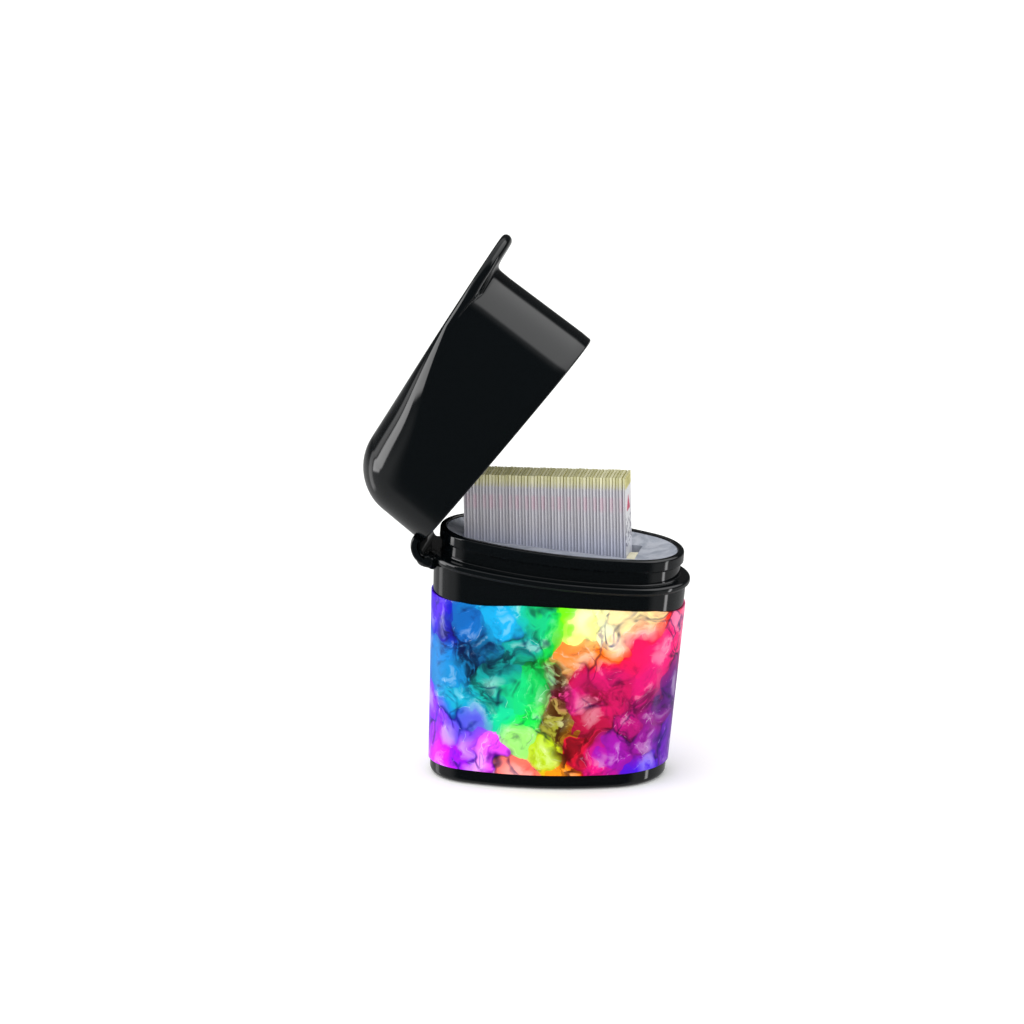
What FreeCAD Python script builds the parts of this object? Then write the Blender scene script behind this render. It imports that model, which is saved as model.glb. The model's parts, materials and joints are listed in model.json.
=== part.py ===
import FreeCAD, Part
import math
import os
import re

import Sketcher

# Flip-top vial that keeps fifty test strips dry, with its lid held open.
#
# Row frame: origin at the centre of the base, +Z up, +X towards the thumb lip of the
# closed lid, so the living hinge is on the -X side.  All sizes are in millimetres.
#
# Every outline is a four-arc oval: two end arcs joined tangentially to two long side arcs.
# The mouth of the vial is not level: flange, neck, rim, holder plate and lid share one
# "parting plane" that slopes down towards +X.  The lid is drawn in that plane's own frame
# as if it were closed, and its placement then swings it open about the hinge.

SIZES = (
    # alias, value, meaning
    ("base_half_length", 22.9, "base oval, half length"),
    ("base_half_depth", 13.0, "base oval, half depth"),
    ("base_end_radius", 11.2, "base oval, radius of the end arcs"),
    ("base_edge_radius", 1.2, "rounding between base and wall"),
    ("parting_x", 3.35, "centre of the parting plane"),
    ("parting_z", 42.0, "height of the parting plane at its centre"),
    ("parting_angle", 5.8, "slope of the parting plane, degrees"),
    ("flange_half_length", 25.25, "flange oval, half length"),
    ("flange_half_depth", 14.45, "flange oval, half depth"),
    ("flange_end_radius", 12.1, "flange oval, radius of the end arcs"),
    ("flange_thickness", 1.4, "flange thickness"),
    ("flange_edge_radius", 0.55, "rounding of the flange edge"),
    ("wall_inset", 0.75, "flange edge to the outer wall below it"),
    ("neck_inset", 2.1, "flange edge to the neck above it"),
    ("bead_inset", 1.55, "flange edge to the snap bead"),
    ("bead_height", 2.4, "height of the snap bead below the rim"),
    ("bead_edge_radius", 0.5, "rounding of the snap bead"),
    ("mouth_inset", 2.8, "flange edge to the mouth opening"),
    ("cavity_inset", 3.2, "flange edge to the cavity below the mouth"),
    ("rim_height", 5.1, "rim above the parting plane"),
    ("mouth_depth", 1.9, "depth of the mouth recess that seats the holder"),
    ("floor_thickness", 1.5, "vial floor"),
    ("wall_thickness", 1.3, "vial wall at the floor"),
    ("hinge_width", 14.8, "width of the hinge lugs"),
    ("hinge_reach", 27.6, "hinge axis from the parting centre, towards -X"),
    ("hinge_height", 0.45, "hinge axis above the parting plane"),
    ("film_thickness", 0.4, "living hinge web"),
    ("film_length", 0.7, "living hinge web, lug to axis"),
    ("lug_drop", 2.5, "body lug below the parting plane"),
    ("lid_gap", 0.1, "lid rim above the parting plane"),
    ("lid_half_length", 25.9, "lid oval, half length"),
    ("lid_centre", -0.7, "middle of the lid oval from the parting centre"),
    ("lid_half_depth", 15.0, "lid oval, half depth"),
    ("lid_end_radius", 12.65, "lid oval, radius of the end arcs"),
    ("lid_wall", 1.2, "lid wall"),
    ("lid_height", 19.7, "lid height above the parting plane at its hinge end"),
    ("lid_top_angle", 6.8, "rise of the lid top towards the thumb lip, degrees"),
    ("lid_rear_radius", 11.5, "large rounding over the hinge end"),
    ("lid_edge_radius", 5.5, "rounding of the lid's top edge"),
    ("lid_open_angle", 56.0, "opening of the lid from closed, degrees"),
    ("lip_reach", 6.4, "thumb lip beyond the lid front"),
    ("lip_thickness", 2.3, "thumb lip"),
    ("lip_start", 8.0, "middle of the thumb lip's own oval, where it leaves the lid sides"),
    ("lip_half_depth", 11.5, "thumb lip's oval, half depth"),
    ("lip_nose_radius", 8.5, "thumb lip's oval, radius of the nose"),
    ("seal_height", 5.2, "underside of the seal above the parting plane"),
    ("seal_thickness", 1.0, "seal ring"),
    ("seal_width", 1.9, "seal ring, wall to bore"),
    ("seal_rib_width", 0.8, "rib above the seal"),
    ("holder_gap", 0.1, "holder plate to the mouth"),
    ("holder_sink", 0.4, "holder plate below the rim"),
    ("holder_plate", 1.4, "holder plate thickness"),
    ("hopper_depth", 0.8, "depth of the shallow hopper at the middle of the plate"),
    ("slot_left", -15.2, "strip slot, hinge end"),
    ("slot_right", 18.0, "strip slot, lip end"),
    ("slot_half_width", 4.7, "strip slot, half width"),
    ("holder_wall", 1.0, "wall of the strip pocket"),
    ("liner_half_gap", 3.3, "desiccant liners, half of the gap between them"),
    ("liner_top", 41.0, "top of the desiccant liners"),
    ("wrap_gap", 0.02, "adhesive between wall and wrap"),
    ("wrap_thickness", 0.15, "printed wrap"),
    ("wrap_bottom", 2.4, "lower edge of the wrap"),
    ("wrap_drop", 5.0, "upper edge of the wrap below the parting plane"),
    ("wrap_seam", 0.5, "open seam at the back"),
    ("strip_count", 50, "strips in a full vial"),
    ("strip_pitch", 0.632, "strip to strip"),
    ("strip_first", -14.7, "hinge side of the first strip"),
    ("strip_width", 6.2, "strip width"),
    ("strip_bottom", 23.85, "strips stand on the pocket floor"),
    ("strip_top", 59.85, "top of the strips"),
    ("strip_clearance", 0.03, "strips above the pocket floor"),
    ("base_film", 0.34, "strip base film"),
    ("electrode_film", 0.03, "electrode layer"),
    ("spacer_film", 0.09, "adhesive spacer"),
    ("cover_film", 0.06, "clear cover film"),
    ("print_film", 0.02, "printed ink layer"),
    ("contact_length", 8.0, "bare contacts at the lower end"),
    ("track_width", 1.5, "electrode track"),
    ("track_margin", 0.7, "strip edge to electrode track"),
    ("track_end", 3.0, "strip top to electrode bridge"),
    ("channel_width", 1.2, "sample channel in the spacer"),
    ("channel_length", 3.2, "sample channel in the spacer"),
    ("dose_band", 2.3, "dosing edge below the strip top"),
    ("arrow_top", 3.9, "insertion arrow below the strip top"),
    ("arrow_height", 3.0, "insertion arrow"),
    ("arrow_width", 3.4, "insertion arrow"),
)

# Sections that make up each lofted rounding.
ROUNDING_STEPS = 4

doc = FreeCAD.newDocument("StripVial")
sheet = doc.addObject("Spreadsheet::Sheet", "Sizes")


def fill_sheet():
    """One row per driving dimension: meaning, then the number with its alias."""
    for row, (alias, number, meaning) in enumerate(SIZES, start=1):
        sheet.set(f"A{row}", meaning)
        sheet.set(f"B{row}", str(number))
        sheet.setAlias(f"B{row}", alias)
    doc.recompute()


ALIAS = re.compile(r"\b(" + "|".join(alias for alias, _, _ in SIZES) + r")\b")


def linked(formula):
    """Turn bare aliases into references to the sheet."""
    return ALIAS.sub(r"Sizes.\1", formula)


def value(formula):
    """The number that a formula of aliases gives now."""
    result = sheet.evalExpression(linked(formula))
    return float(getattr(result, "Value", result))


def bind(thing, prop, formula):
    thing.setExpression(prop, linked(formula))


# ---------------------------------------------------------------- sketch helpers


def new_body(name):
    return doc.addObject("PartDesign::Body", name)


def origin_plane(body, role):
    return next(item for item in body.Origin.OriginFeatures if item.Role == role)


LEVEL = ("0", "0", "0")


def level(height):
    """Attachment of a horizontal sketch: x, z and tilt."""
    return ("0", height, "0")


def parting(height):
    """Attachment of a sketch parallel to the parting plane, at a height above it."""
    return (
        f"parting_x + ({height}) * sin(parting_angle * 1deg)",
        f"parting_z + ({height}) * cos(parting_angle * 1deg)",
        "parting_angle",
    )


def new_sketch(body, name, role="XY_Plane", place=LEVEL):
    """Empty sketch on one of the body's own origin planes, moved and tilted by formulas."""
    sketch = body.newObject("Sketcher::SketchObject", name)
    sketch.AttachmentSupport = (origin_plane(body, role), [""])
    sketch.MapMode = "FlatFace"
    if place != LEVEL:
        x_place, z_place, tilt = place
        sketch.AttachmentOffset = FreeCAD.Placement(
            FreeCAD.Vector(value(x_place), 0, value(z_place)),
            FreeCAD.Rotation(FreeCAD.Vector(0, 1, 0), value(tilt)),
        )
        bind(sketch, "AttachmentOffset.Base.x", x_place)
        bind(sketch, "AttachmentOffset.Base.z", z_place)
        if tilt != "0":
            bind(sketch, "AttachmentOffset.Rotation.Angle", f"{tilt} * 1deg")
    return sketch


def dimension(sketch, kind, geometry, formula):
    """A driving constraint whose size comes from the sheet."""
    number = value(formula)
    index = sketch.addConstraint(Sketcher.Constraint(kind, *geometry, number))
    bind(sketch, f"Constraints[{index}]", formula)


def pin_point(sketch, geometry, point, x_formula, y_formula):
    """Fix one point of a sketch at x, y formulas."""
    dimension(sketch, "DistanceX", (-1, 1, geometry, point), x_formula)
    dimension(sketch, "DistanceY", (-1, 1, geometry, point), y_formula)


def oval(sketch, half_length, half_depth, end_radius, centre="0"):
    """Closed four-arc oval, fully constrained."""
    start = sketch.GeometryCount
    middle = value(centre)
    ends = value(end_radius)
    spread = value(half_length) - ends
    depth = value(half_depth)
    side_radius = (
        f"((({half_length}) - ({end_radius}))^2 + ({half_depth})^2 - ({end_radius})^2)"
        f" / (2 * (({half_depth}) - ({end_radius})))"
    )
    sides = value(side_radius)
    swing = math.atan2(spread, sides - depth)
    up = FreeCAD.Vector(0, 0, 1)

    def arc(x, y, radius, first, last):
        circle = Part.Circle(FreeCAD.Vector(x, y, 0), up, radius)
        sketch.addGeometry(Part.ArcOfCircle(circle, first, last), False)

    quarter = math.pi / 2
    arc(middle + spread, 0, ends, swing - quarter, quarter - swing)
    arc(middle, depth - sides, sides, quarter - swing, quarter + swing)
    arc(middle - spread, 0, ends, quarter + swing, 3 * quarter - swing)
    arc(middle, sides - depth, sides, 3 * quarter - swing, 3 * quarter + swing)
    front, back_side, rear, near_side = range(start, start + 4)
    ring = (front, back_side, rear, near_side)
    for first, second in zip(ring, ring[1:] + ring[:1]):
        sketch.addConstraint(Sketcher.Constraint("Tangent", first, 2, second, 1))
    sketch.addConstraint(Sketcher.Constraint("Equal", front, rear))
    sketch.addConstraint(Sketcher.Constraint("Equal", back_side, near_side))
    sketch.addConstraint(Sketcher.Constraint("PointOnObject", front, 3, -1))
    sketch.addConstraint(Sketcher.Constraint("PointOnObject", rear, 3, -1))
    dimension(sketch, "Radius", (front,), end_radius)
    dimension(sketch, "Radius", (back_side,), side_radius)
    reach = f"({half_length}) - ({end_radius})"
    dimension(sketch, "DistanceX", (-1, 1, front, 3), f"({centre}) + {reach}")
    dimension(sketch, "DistanceX", (-1, 1, rear, 3), f"({centre}) - ({reach})")


def flange_oval(sketch, inset):
    """The flange outline moved inwards by an inset."""
    oval(
        sketch,
        f"flange_half_length - ({inset})",
        f"flange_half_depth - ({inset})",
        f"flange_end_radius - ({inset})",
    )


def lid_oval(sketch, inset):
    """The lid outline moved inwards by an inset."""
    oval(
        sketch,
        f"lid_half_length - ({inset})",
        f"lid_half_depth - ({inset})",
        f"lid_end_radius - ({inset})",
        "lid_centre",
    )


def polygon(sketch, corners):
    """Closed polygon through corners given as pairs of formulas."""
    start = sketch.GeometryCount
    count = len(corners)
    points = [FreeCAD.Vector(value(x), value(y), 0) for x, y in corners]
    for index in range(count):
        segment = Part.LineSegment(points[index], points[(index + 1) % count])
        sketch.addGeometry(segment, False)
    for index in range(count):
        following = start + (index + 1) % count
        sketch.addConstraint(Sketcher.Constraint("Coincident", start + index, 2, following, 1))
    for index, (x, y) in enumerate(corners):
        pin_point(sketch, start + index, 1, x, y)


def rectangle(sketch, left, right, low, high):
    polygon(sketch, ((left, low), (right, low), (right, high), (left, high)))


# ---------------------------------------------------------------- feature helpers


def feature(body, kind, name, sketch):
    made = body.newObject(f"PartDesign::{kind}", name)
    made.Profile = sketch
    sketch.Visibility = False
    return made


def pad(body, name, sketch, length, both_sides=False):
    made = feature(body, "Pad", name, sketch)
    bind(made, "Length", length)
    made.Midplane = both_sides
    doc.recompute()
    return made


def pocket(body, name, sketch, length, upwards=False, both_sides=False):
    """Cut along the sketch normal, checked to remove material."""
    before = body.Tip.Shape.Volume
    made = feature(body, "Pocket", name, sketch)
    bind(made, "Length", length)
    made.Midplane = both_sides
    made.Reversed = upwards
    doc.recompute()
    if not made.Shape.Volume < before:
        raise RuntimeError(f"{body.Name}: {name} removes nothing")
    return made


def loft(body, kind, name, sketches, ruled=True):
    made = feature(body, kind, name, sketches[0])
    made.Sections = sketches[1:]
    made.Ruled = ruled
    doc.recompute()
    return made


def fillet(body, name, radius, wanted):
    """Round every edge of the tip that the test accepts."""
    base = body.Tip
    edges = [f"Edge{number}" for number, edge in enumerate(base.Shape.Edges, start=1) if wanted(edge)]
    if not edges:
        raise RuntimeError(f"{body.Name}: {name} finds no edge")
    made = body.newObject("PartDesign::Fillet", name)
    made.Base = (base, edges)
    bind(made, "Radius", radius)
    doc.recompute()
    return made


def parting_frame():
    """Placement of the parting plane in the row frame."""
    centre = FreeCAD.Vector(value("parting_x"), 0, value("parting_z"))
    return FreeCAD.Placement(centre, FreeCAD.Rotation(FreeCAD.Vector(0, 1, 0), value("parting_angle")))


def lid_frame():
    """Placement of the lid's own frame: the parting frame swung open about the hinge."""
    hinge = FreeCAD.Vector(-value("hinge_reach"), 0, value("hinge_height"))
    swing = FreeCAD.Rotation(FreeCAD.Vector(0, -1, 0), value("lid_open_angle"))
    turned = FreeCAD.Placement(hinge, swing)
    back = FreeCAD.Placement(hinge.negative(), FreeCAD.Rotation())
    return parting_frame().multiply(turned).multiply(back)


def on_level(edge, height, frame=None):
    """True where the whole edge lies at one height of a frame."""
    to_frame = frame.inverse() if frame else FreeCAD.Placement()
    heights = [to_frame.multVec(edge.valueAt(at)).z for at in edge.ParameterRange]
    heights.append(to_frame.multVec(edge.valueAt(sum(edge.ParameterRange) / 2)).z)
    return all(abs(found - height) < 0.01 for found in heights)


def outside_oval(edge, frame, half_depth, half_length):
    """True where the middle of the edge reaches an oval of this size."""
    at = frame.inverse().multVec(edge.valueAt(sum(edge.ParameterRange) / 2))
    return abs(at.y) > half_depth - 0.05 or abs(at.x) > half_length - 0.05


# ---------------------------------------------------------------- vial


def base_oval(body, name, outset, height):
    """Level oval of the base outline moved outwards by an outset."""
    sketch = new_sketch(body, name, place=level(height))
    oval(
        sketch,
        f"base_half_length + ({outset})",
        f"base_half_depth + ({outset})",
        f"base_end_radius + ({outset})",
    )
    return sketch


def wall_loft(body, kind, name, outset):
    """Vial wall between the level oval above the base rounding and the sloping flange."""
    low = base_oval(body, f"{name}Base", outset, "base_edge_radius")
    high = new_sketch(body, f"{name}Top", place=parting("-flange_thickness"))
    flange_oval(high, f"wall_inset - ({outset})")
    return loft(body, kind, name, [low, high])


def quarter_turn():
    """Angles that share out a quarter turn evenly, in degrees."""
    return [step * 90 / ROUNDING_STEPS for step in range(ROUNDING_STEPS + 1)]


def make_vial_body():
    """Moulded vial: tapering wall, flange, neck with snap bead, hinge lug and cavity."""
    body = new_body("vial_body")
    turns = [
        base_oval(
            body,
            f"BaseTurn{step}",
            f"base_edge_radius * (sin({turn} * 1deg) - 1)",
            f"base_edge_radius * (1 - cos({turn} * 1deg))",
        )
        for step, turn in enumerate(quarter_turn())
    ]
    loft(body, "AdditiveLoft", "BaseRounding", turns, ruled=False)
    wall_loft(body, "AdditiveLoft", "Wall", "0")

    frame = parting_frame()
    flange = new_sketch(body, "FlangeOutline", place=parting("-flange_thickness"))
    flange_oval(flange, "0")
    pad(body, "Flange", flange, "flange_thickness")
    long_side = value("flange_half_length")
    short_side = value("flange_half_depth")
    fillet(
        body,
        "FlangeRounding",
        "flange_edge_radius",
        lambda edge: outside_oval(edge, frame, short_side, long_side)
        and (on_level(edge, 0, frame) or on_level(edge, -value("flange_thickness"), frame)),
    )

    neck = new_sketch(body, "NeckOutline", place=parting("0"))
    flange_oval(neck, "neck_inset")
    pad(body, "Neck", neck, "rim_height")
    bead = new_sketch(body, "BeadOutline", place=parting("rim_height - bead_height"))
    flange_oval(bead, "bead_inset")
    pad(body, "Bead", bead, "bead_height")
    rim = value("rim_height")
    bead_foot = value("rim_height - bead_height")
    bead_long = value("flange_half_length - bead_inset")
    bead_short = value("flange_half_depth - bead_inset")
    fillet(
        body,
        "BeadRounding",
        "bead_edge_radius",
        lambda edge: outside_oval(edge, frame, bead_short, bead_long)
        and (on_level(edge, rim, frame) or on_level(edge, bead_foot, frame)),
    )

    lug = new_sketch(body, "LugProfile", role="XZ_Plane")
    polygon(lug, lug_corners())
    pad(body, "HingeLug", lug, "hinge_width", both_sides=True)

    floor = base_oval(body, "CavityFloor", "-wall_thickness", "floor_thickness")
    seat = new_sketch(body, "HolderSeat", place=parting("rim_height - mouth_depth"))
    flange_oval(seat, "cavity_inset")
    loft(body, "SubtractiveLoft", "Cavity", [floor, seat])
    mouth = new_sketch(body, "MouthOutline", place=parting("rim_height"))
    flange_oval(mouth, "mouth_inset")
    pocket(body, "Mouth", mouth, "mouth_depth")
    return body


def in_row_frame(along, above):
    """Row x and z formulas of a point given along and above the parting plane."""
    cosine = "cos(parting_angle * 1deg)"
    sine = "sin(parting_angle * 1deg)"
    return (
        f"parting_x + ({along}) * {cosine} + ({above}) * {sine}",
        f"parting_z - ({along}) * {sine} + ({above}) * {cosine}",
    )


def lug_corners():
    """Side profile of the vial's hinge lug: a bracket that curls up to the hinge film."""
    film_foot = "hinge_height - film_thickness / 2"
    inner = "-(flange_half_length - cavity_inset)"
    profile = (
        (inner, "-flange_thickness / 2"),
        ("-(hinge_reach - film_length)", "-flange_thickness / 2"),
        ("-(hinge_reach - film_length)", film_foot),
        ("-(hinge_reach - film_thickness / 2)", film_foot),
        ("-(hinge_reach - film_thickness / 2)", "-film_thickness / 2"),
        ("-(flange_half_length + 0.2)", "-(lug_drop - 0.6)"),
        ("-(flange_half_length - 1.2)", "-lug_drop"),
        (inner, "-lug_drop"),
    )
    return [in_row_frame(along, above) for along, above in profile]


def make_hinge_film():
    """Thin web of the living hinge, rounded on the axis where it bends."""
    body = new_body("hinge_film")
    sketch = new_sketch(body, "FilmProfile", role="XZ_Plane")
    half = value("film_thickness / 2")
    length = value("film_length")
    low = Part.LineSegment(FreeCAD.Vector(length, -half, 0), FreeCAD.Vector(0, -half, 0))
    top = Part.LineSegment(FreeCAD.Vector(0, half, 0), FreeCAD.Vector(length, half, 0))
    end = Part.LineSegment(FreeCAD.Vector(length, half, 0), FreeCAD.Vector(length, -half, 0))
    circle = Part.Circle(FreeCAD.Vector(0, 0, 0), FreeCAD.Vector(0, 0, 1), half)
    bend = Part.ArcOfCircle(circle, math.pi / 2, 3 * math.pi / 2)
    for piece in (low, bend, top, end):
        sketch.addGeometry(piece, False)
    sketch.addConstraint(Sketcher.Constraint("Tangent", 0, 2, 1, 2))
    sketch.addConstraint(Sketcher.Constraint("Tangent", 1, 1, 2, 1))
    sketch.addConstraint(Sketcher.Constraint("Coincident", 2, 2, 3, 1))
    sketch.addConstraint(Sketcher.Constraint("Coincident", 3, 2, 0, 1))
    sketch.addConstraint(Sketcher.Constraint("Coincident", 1, 3, -1, 1))
    for flat in (0, 2):
        sketch.addConstraint(Sketcher.Constraint("Horizontal", flat))
    sketch.addConstraint(Sketcher.Constraint("Vertical", 3))
    dimension(sketch, "Radius", (1,), "film_thickness / 2")
    dimension(sketch, "DistanceX", (-1, 1, 3, 1), "film_length")
    pad(body, "Film", sketch, "hinge_width - 2 * film_thickness", both_sides=True)
    axis = FreeCAD.Placement(
        FreeCAD.Vector(-value("hinge_reach"), 0, value("hinge_height")), FreeCAD.Rotation()
    )
    body.Placement = parting_frame().multiply(axis)
    return body


def make_printed_wrap():
    """Printed vinyl around the wall, open at a narrow seam on the +Y side."""
    body = new_body("printed_wrap")
    wall_loft(body, "AdditiveLoft", "Outside", "wrap_gap + wrap_thickness")
    wall_loft(body, "SubtractiveLoft", "Inside", "wrap_gap")
    reach = "2 * flange_half_length"
    low = new_sketch(body, "LowerTrim", place=level("wrap_bottom"))
    rectangle(low, f"-{reach}", reach, f"-{reach}", reach)
    pocket(body, "LowerEdge", low, "parting_z")
    high = new_sketch(body, "UpperTrim", place=parting("-wrap_drop"))
    rectangle(high, f"-{reach}", reach, f"-{reach}", reach)
    pocket(body, "UpperEdge", high, "parting_z", upwards=True)
    seam = new_sketch(body, "SeamTrim")
    rectangle(seam, "-wrap_seam / 2", "wrap_seam / 2", "0", reach)
    pocket(body, "Seam", seam, "parting_z", upwards=True)
    return body


# ---------------------------------------------------------------- inside of the vial


def make_strip_holder():
    """Moulded insert: sloping plate with a shallow hopper, and the pocket the strips stand in."""
    body = new_body("strip_holder")
    foot_height = "strip_bottom - strip_clearance - holder_wall"
    foot = new_sketch(body, "PocketOutside", place=level(foot_height))
    rectangle(
        foot,
        "slot_left - holder_wall",
        "slot_right + holder_wall",
        "-(slot_half_width + holder_wall)",
        "slot_half_width + holder_wall",
    )
    pad(body, "PocketBox", foot, "parting_z - strip_bottom + 2 * rim_height")
    reach = "2 * flange_half_length"
    trim = new_sketch(body, "PlateTrim", place=parting("rim_height - holder_sink - holder_plate / 2"))
    rectangle(trim, f"-{reach}", reach, f"-{reach}", reach)
    pocket(body, "PlateLevel", trim, "parting_z", upwards=True)
    plate = new_sketch(body, "PlateOutline", place=parting("rim_height - holder_sink - holder_plate"))
    flange_oval(plate, "mouth_inset + holder_gap")
    pad(body, "Plate", plate, "holder_plate")
    hopper = new_sketch(body, "HopperProfile", role="YZ_Plane")
    hopper_place(hopper)
    half = "flange_half_depth - mouth_inset"
    left_top, left = (f"-({half})", "1"), (f"-({half})", "0")
    right, right_top = (half, "0"), (half, "1")
    polygon(hopper, (left_top, left, ("0", "-hopper_depth"), right, right_top))
    pocket(body, "Hopper", hopper, f"2 * {reach}", both_sides=True)
    slot = new_sketch(body, "SlotOutline", place=level("strip_bottom - strip_clearance"))
    rectangle(slot, "slot_left", "slot_right", "-slot_half_width", "slot_half_width")
    pocket(body, "Slot", slot, "parting_z", upwards=True)
    return body


def hopper_place(sketch):
    """Stand the hopper profile across the plate, square to the parting plane."""
    x_place, z_place, tilt = parting("rim_height - holder_sink")
    sketch.AttachmentOffset = FreeCAD.Placement(
        FreeCAD.Vector(0, value(z_place), value(x_place)),
        FreeCAD.Rotation(FreeCAD.Vector(1, 0, 0), value(tilt)),
    )
    bind(sketch, "AttachmentOffset.Base.y", z_place)
    bind(sketch, "AttachmentOffset.Base.z", x_place)
    bind(sketch, "AttachmentOffset.Rotation.Angle", f"{tilt} * 1deg")


def make_desiccant_liners():
    """Two bars of desiccant-filled plastic that line the long sides of the strip pocket."""
    body = new_body("desiccant_liners")
    body.AllowCompound = True
    sketch = new_sketch(body, "LinerOutlines", place=level("strip_bottom - strip_clearance"))
    for low, high in (("liner_half_gap", "slot_half_width"), ("-slot_half_width", "-liner_half_gap")):
        rectangle(sketch, "slot_left", "slot_right", low, high)
    pad(body, "Liners", sketch, "liner_top - strip_bottom + strip_clearance")
    return body


# ---------------------------------------------------------------- lid


def lid_block(name, inset):
    """Solid lid volume in the closed lid's frame, moved inwards by an inset.

    The hinge end rises into the large rear radius while the rest of the edge turns over
    with the small edge radius, so each section is an oval that is shorter at the back.
    """
    body = new_body(name)
    rim = new_sketch(body, "RimOutline", place=level("lid_gap"))
    lid_oval(rim, inset)
    rear = f"(lid_rear_radius - ({inset}))"
    edge = f"(lid_edge_radius - ({inset}))"
    crown = (
        f"(lid_height + lid_half_length * tan(lid_top_angle * 1deg)"
        f" - ({inset}) / cos(lid_top_angle * 1deg))"
    )

    def section(label, climb):
        """Oval at a climb above the start of the rear radius, parallel to the lid top."""
        over_edge = f"max(0; ({climb}) - ({rear} - {edge}))"
        rear_back = f"({rear} - sqrt(abs({rear}^2 - ({climb})^2)))"
        edge_back = f"({edge} - sqrt(abs({edge}^2 - ({over_edge})^2)))"
        height = f"{crown} - ({rear} - ({climb})) / cos(lid_top_angle * 1deg)"
        half_length = f"(lid_half_length - ({inset})) / cos(lid_top_angle * 1deg)"
        sketch = new_sketch(body, label, place=("0", height, "-lid_top_angle"))
        oval(
            sketch,
            f"{half_length} - ({rear_back} + {edge_back}) / 2",
            f"lid_half_depth - ({inset}) - {edge_back}",
            f"lid_end_radius - ({inset}) - {edge_back}",
            f"lid_centre + ({rear_back} - {edge_back}) / 2",
        )
        return sketch

    def climbs(first, last):
        """Heights that share out a quarter turn evenly."""
        return [f"{first} + ({last} - {first}) * sin({turn} * 1deg)" for turn in quarter_turn()]

    shoulder = f"({rear} - {edge})"
    lower = [section(f"Side{step}", climb) for step, climb in enumerate(climbs("0", shoulder))]
    upper = [section(f"Edge{step}", climb) for step, climb in enumerate(climbs(shoulder, rear))]
    loft(body, "AdditiveLoft", "Skirt", [rim, lower[0]])
    loft(body, "AdditiveLoft", "Sides", lower, ruled=False)
    loft(body, "AdditiveLoft", "Crown", upper, ruled=False)
    return body


def add_thumb_lip(body):
    """Visor that leaves the lid sides and comes to a rounded tip beyond the front."""
    crown = "(lid_height + lid_half_length * tan(lid_top_angle * 1deg))"
    foot = f"{crown} - lip_thickness / cos(lid_top_angle * 1deg)"
    sketch = new_sketch(body, "LipOutline", place=("0", foot, "-lid_top_angle"))
    oval(
        sketch,
        "lid_half_length + lip_reach - lip_start",
        "lip_half_depth",
        "lip_nose_radius",
        "lip_start",
    )
    pad(body, "ThumbLip", sketch, "lip_thickness")


def add_lid_lug(body):
    """Thin lug along the rim at the hinge end, above the film when the lid is shut."""
    sketch = new_sketch(body, "LidLugProfile", role="XZ_Plane")
    foot = "hinge_height + film_thickness / 2 + lid_gap / 2"
    polygon(
        sketch,
        (
            ("lid_centre - (lid_half_length - lid_wall / 2)", foot),
            ("-(hinge_reach + 0.1)", foot),
            ("-(hinge_reach + 0.1)", f"{foot} + 0.7"),
            ("lid_centre - (lid_half_length + 0.3)", f"{foot} + 1.2"),
            ("lid_centre - (lid_half_length - lid_wall / 2)", f"{foot} + 2.0"),
        ),
    )
    pad(body, "LidLug", sketch, "hinge_width", both_sides=True)


def make_lid_shell():
    """Deep hollow lid with a thumb lip, a hinge lug and a rib that holds the seal."""
    outside = lid_block("lid_outside", "0")
    add_thumb_lip(outside)
    add_lid_lug(outside)
    inside = lid_block("lid_inside", "lid_wall")
    rib = new_sketch(inside, "SealRib", place=level("seal_height + seal_thickness"))
    lid_oval(rib, "lid_wall / 2")
    lid_oval(rib, "lid_wall + seal_rib_width")
    pocket(inside, "RibSpace", rib, "seal_thickness", upwards=True)
    shell = doc.addObject("Part::Cut", "lid_shell")
    shell.Base = outside
    shell.Tool = inside
    shell.Placement = lid_frame()
    return shell


def make_lid_seal():
    """Soft ring inside the lid that presses on the rim of the vial."""
    body = new_body("lid_seal")
    sketch = new_sketch(body, "SealOutline", place=level("seal_height"))
    lid_oval(sketch, "lid_wall")
    lid_oval(sketch, "lid_wall + seal_width")
    pad(body, "Seal", sketch, "seal_thickness")
    body.Placement = lid_frame()
    return body


# ---------------------------------------------------------------- test strips


def electrode_outline(sketch):
    """Two tracks joined by a bridge under the sample channel."""
    outer = "strip_width / 2 - track_margin"
    inner = f"({outer} - track_width)"
    top = "strip_top - track_end"
    polygon(
        sketch,
        (
            (f"-({outer})", "strip_bottom"),
            (f"-{inner}", "strip_bottom"),
            (f"-{inner}", f"{top} - track_width"),
            (inner, f"{top} - track_width"),
            (inner, "strip_bottom"),
            (outer, "strip_bottom"),
            (outer, top),
            (f"-({outer})", top),
        ),
    )


def base_outline(sketch):
    rectangle(sketch, "-strip_width / 2", "strip_width / 2", "strip_bottom", "strip_top")


def spacer_outline(sketch):
    """Spacer that leaves the contacts bare and has the sample channel cut into its top."""
    half = "strip_width / 2"
    channel = "channel_width / 2"
    polygon(
        sketch,
        (
            (f"-{half}", "strip_bottom + contact_length"),
            (half, "strip_bottom + contact_length"),
            (half, "strip_top"),
            (channel, "strip_top"),
            (channel, "strip_top - channel_length"),
            (f"-{channel}", "strip_top - channel_length"),
            (f"-{channel}", "strip_top"),
            (f"-{half}", "strip_top"),
        ),
    )


def cover_outline(sketch):
    half = "strip_width / 2"
    rectangle(sketch, f"-{half}", half, "strip_bottom + contact_length", "strip_top")


def dose_outline(sketch):
    half = "strip_width / 2"
    rectangle(sketch, f"-{half}", half, "strip_top - dose_band", "strip_top")


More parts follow.
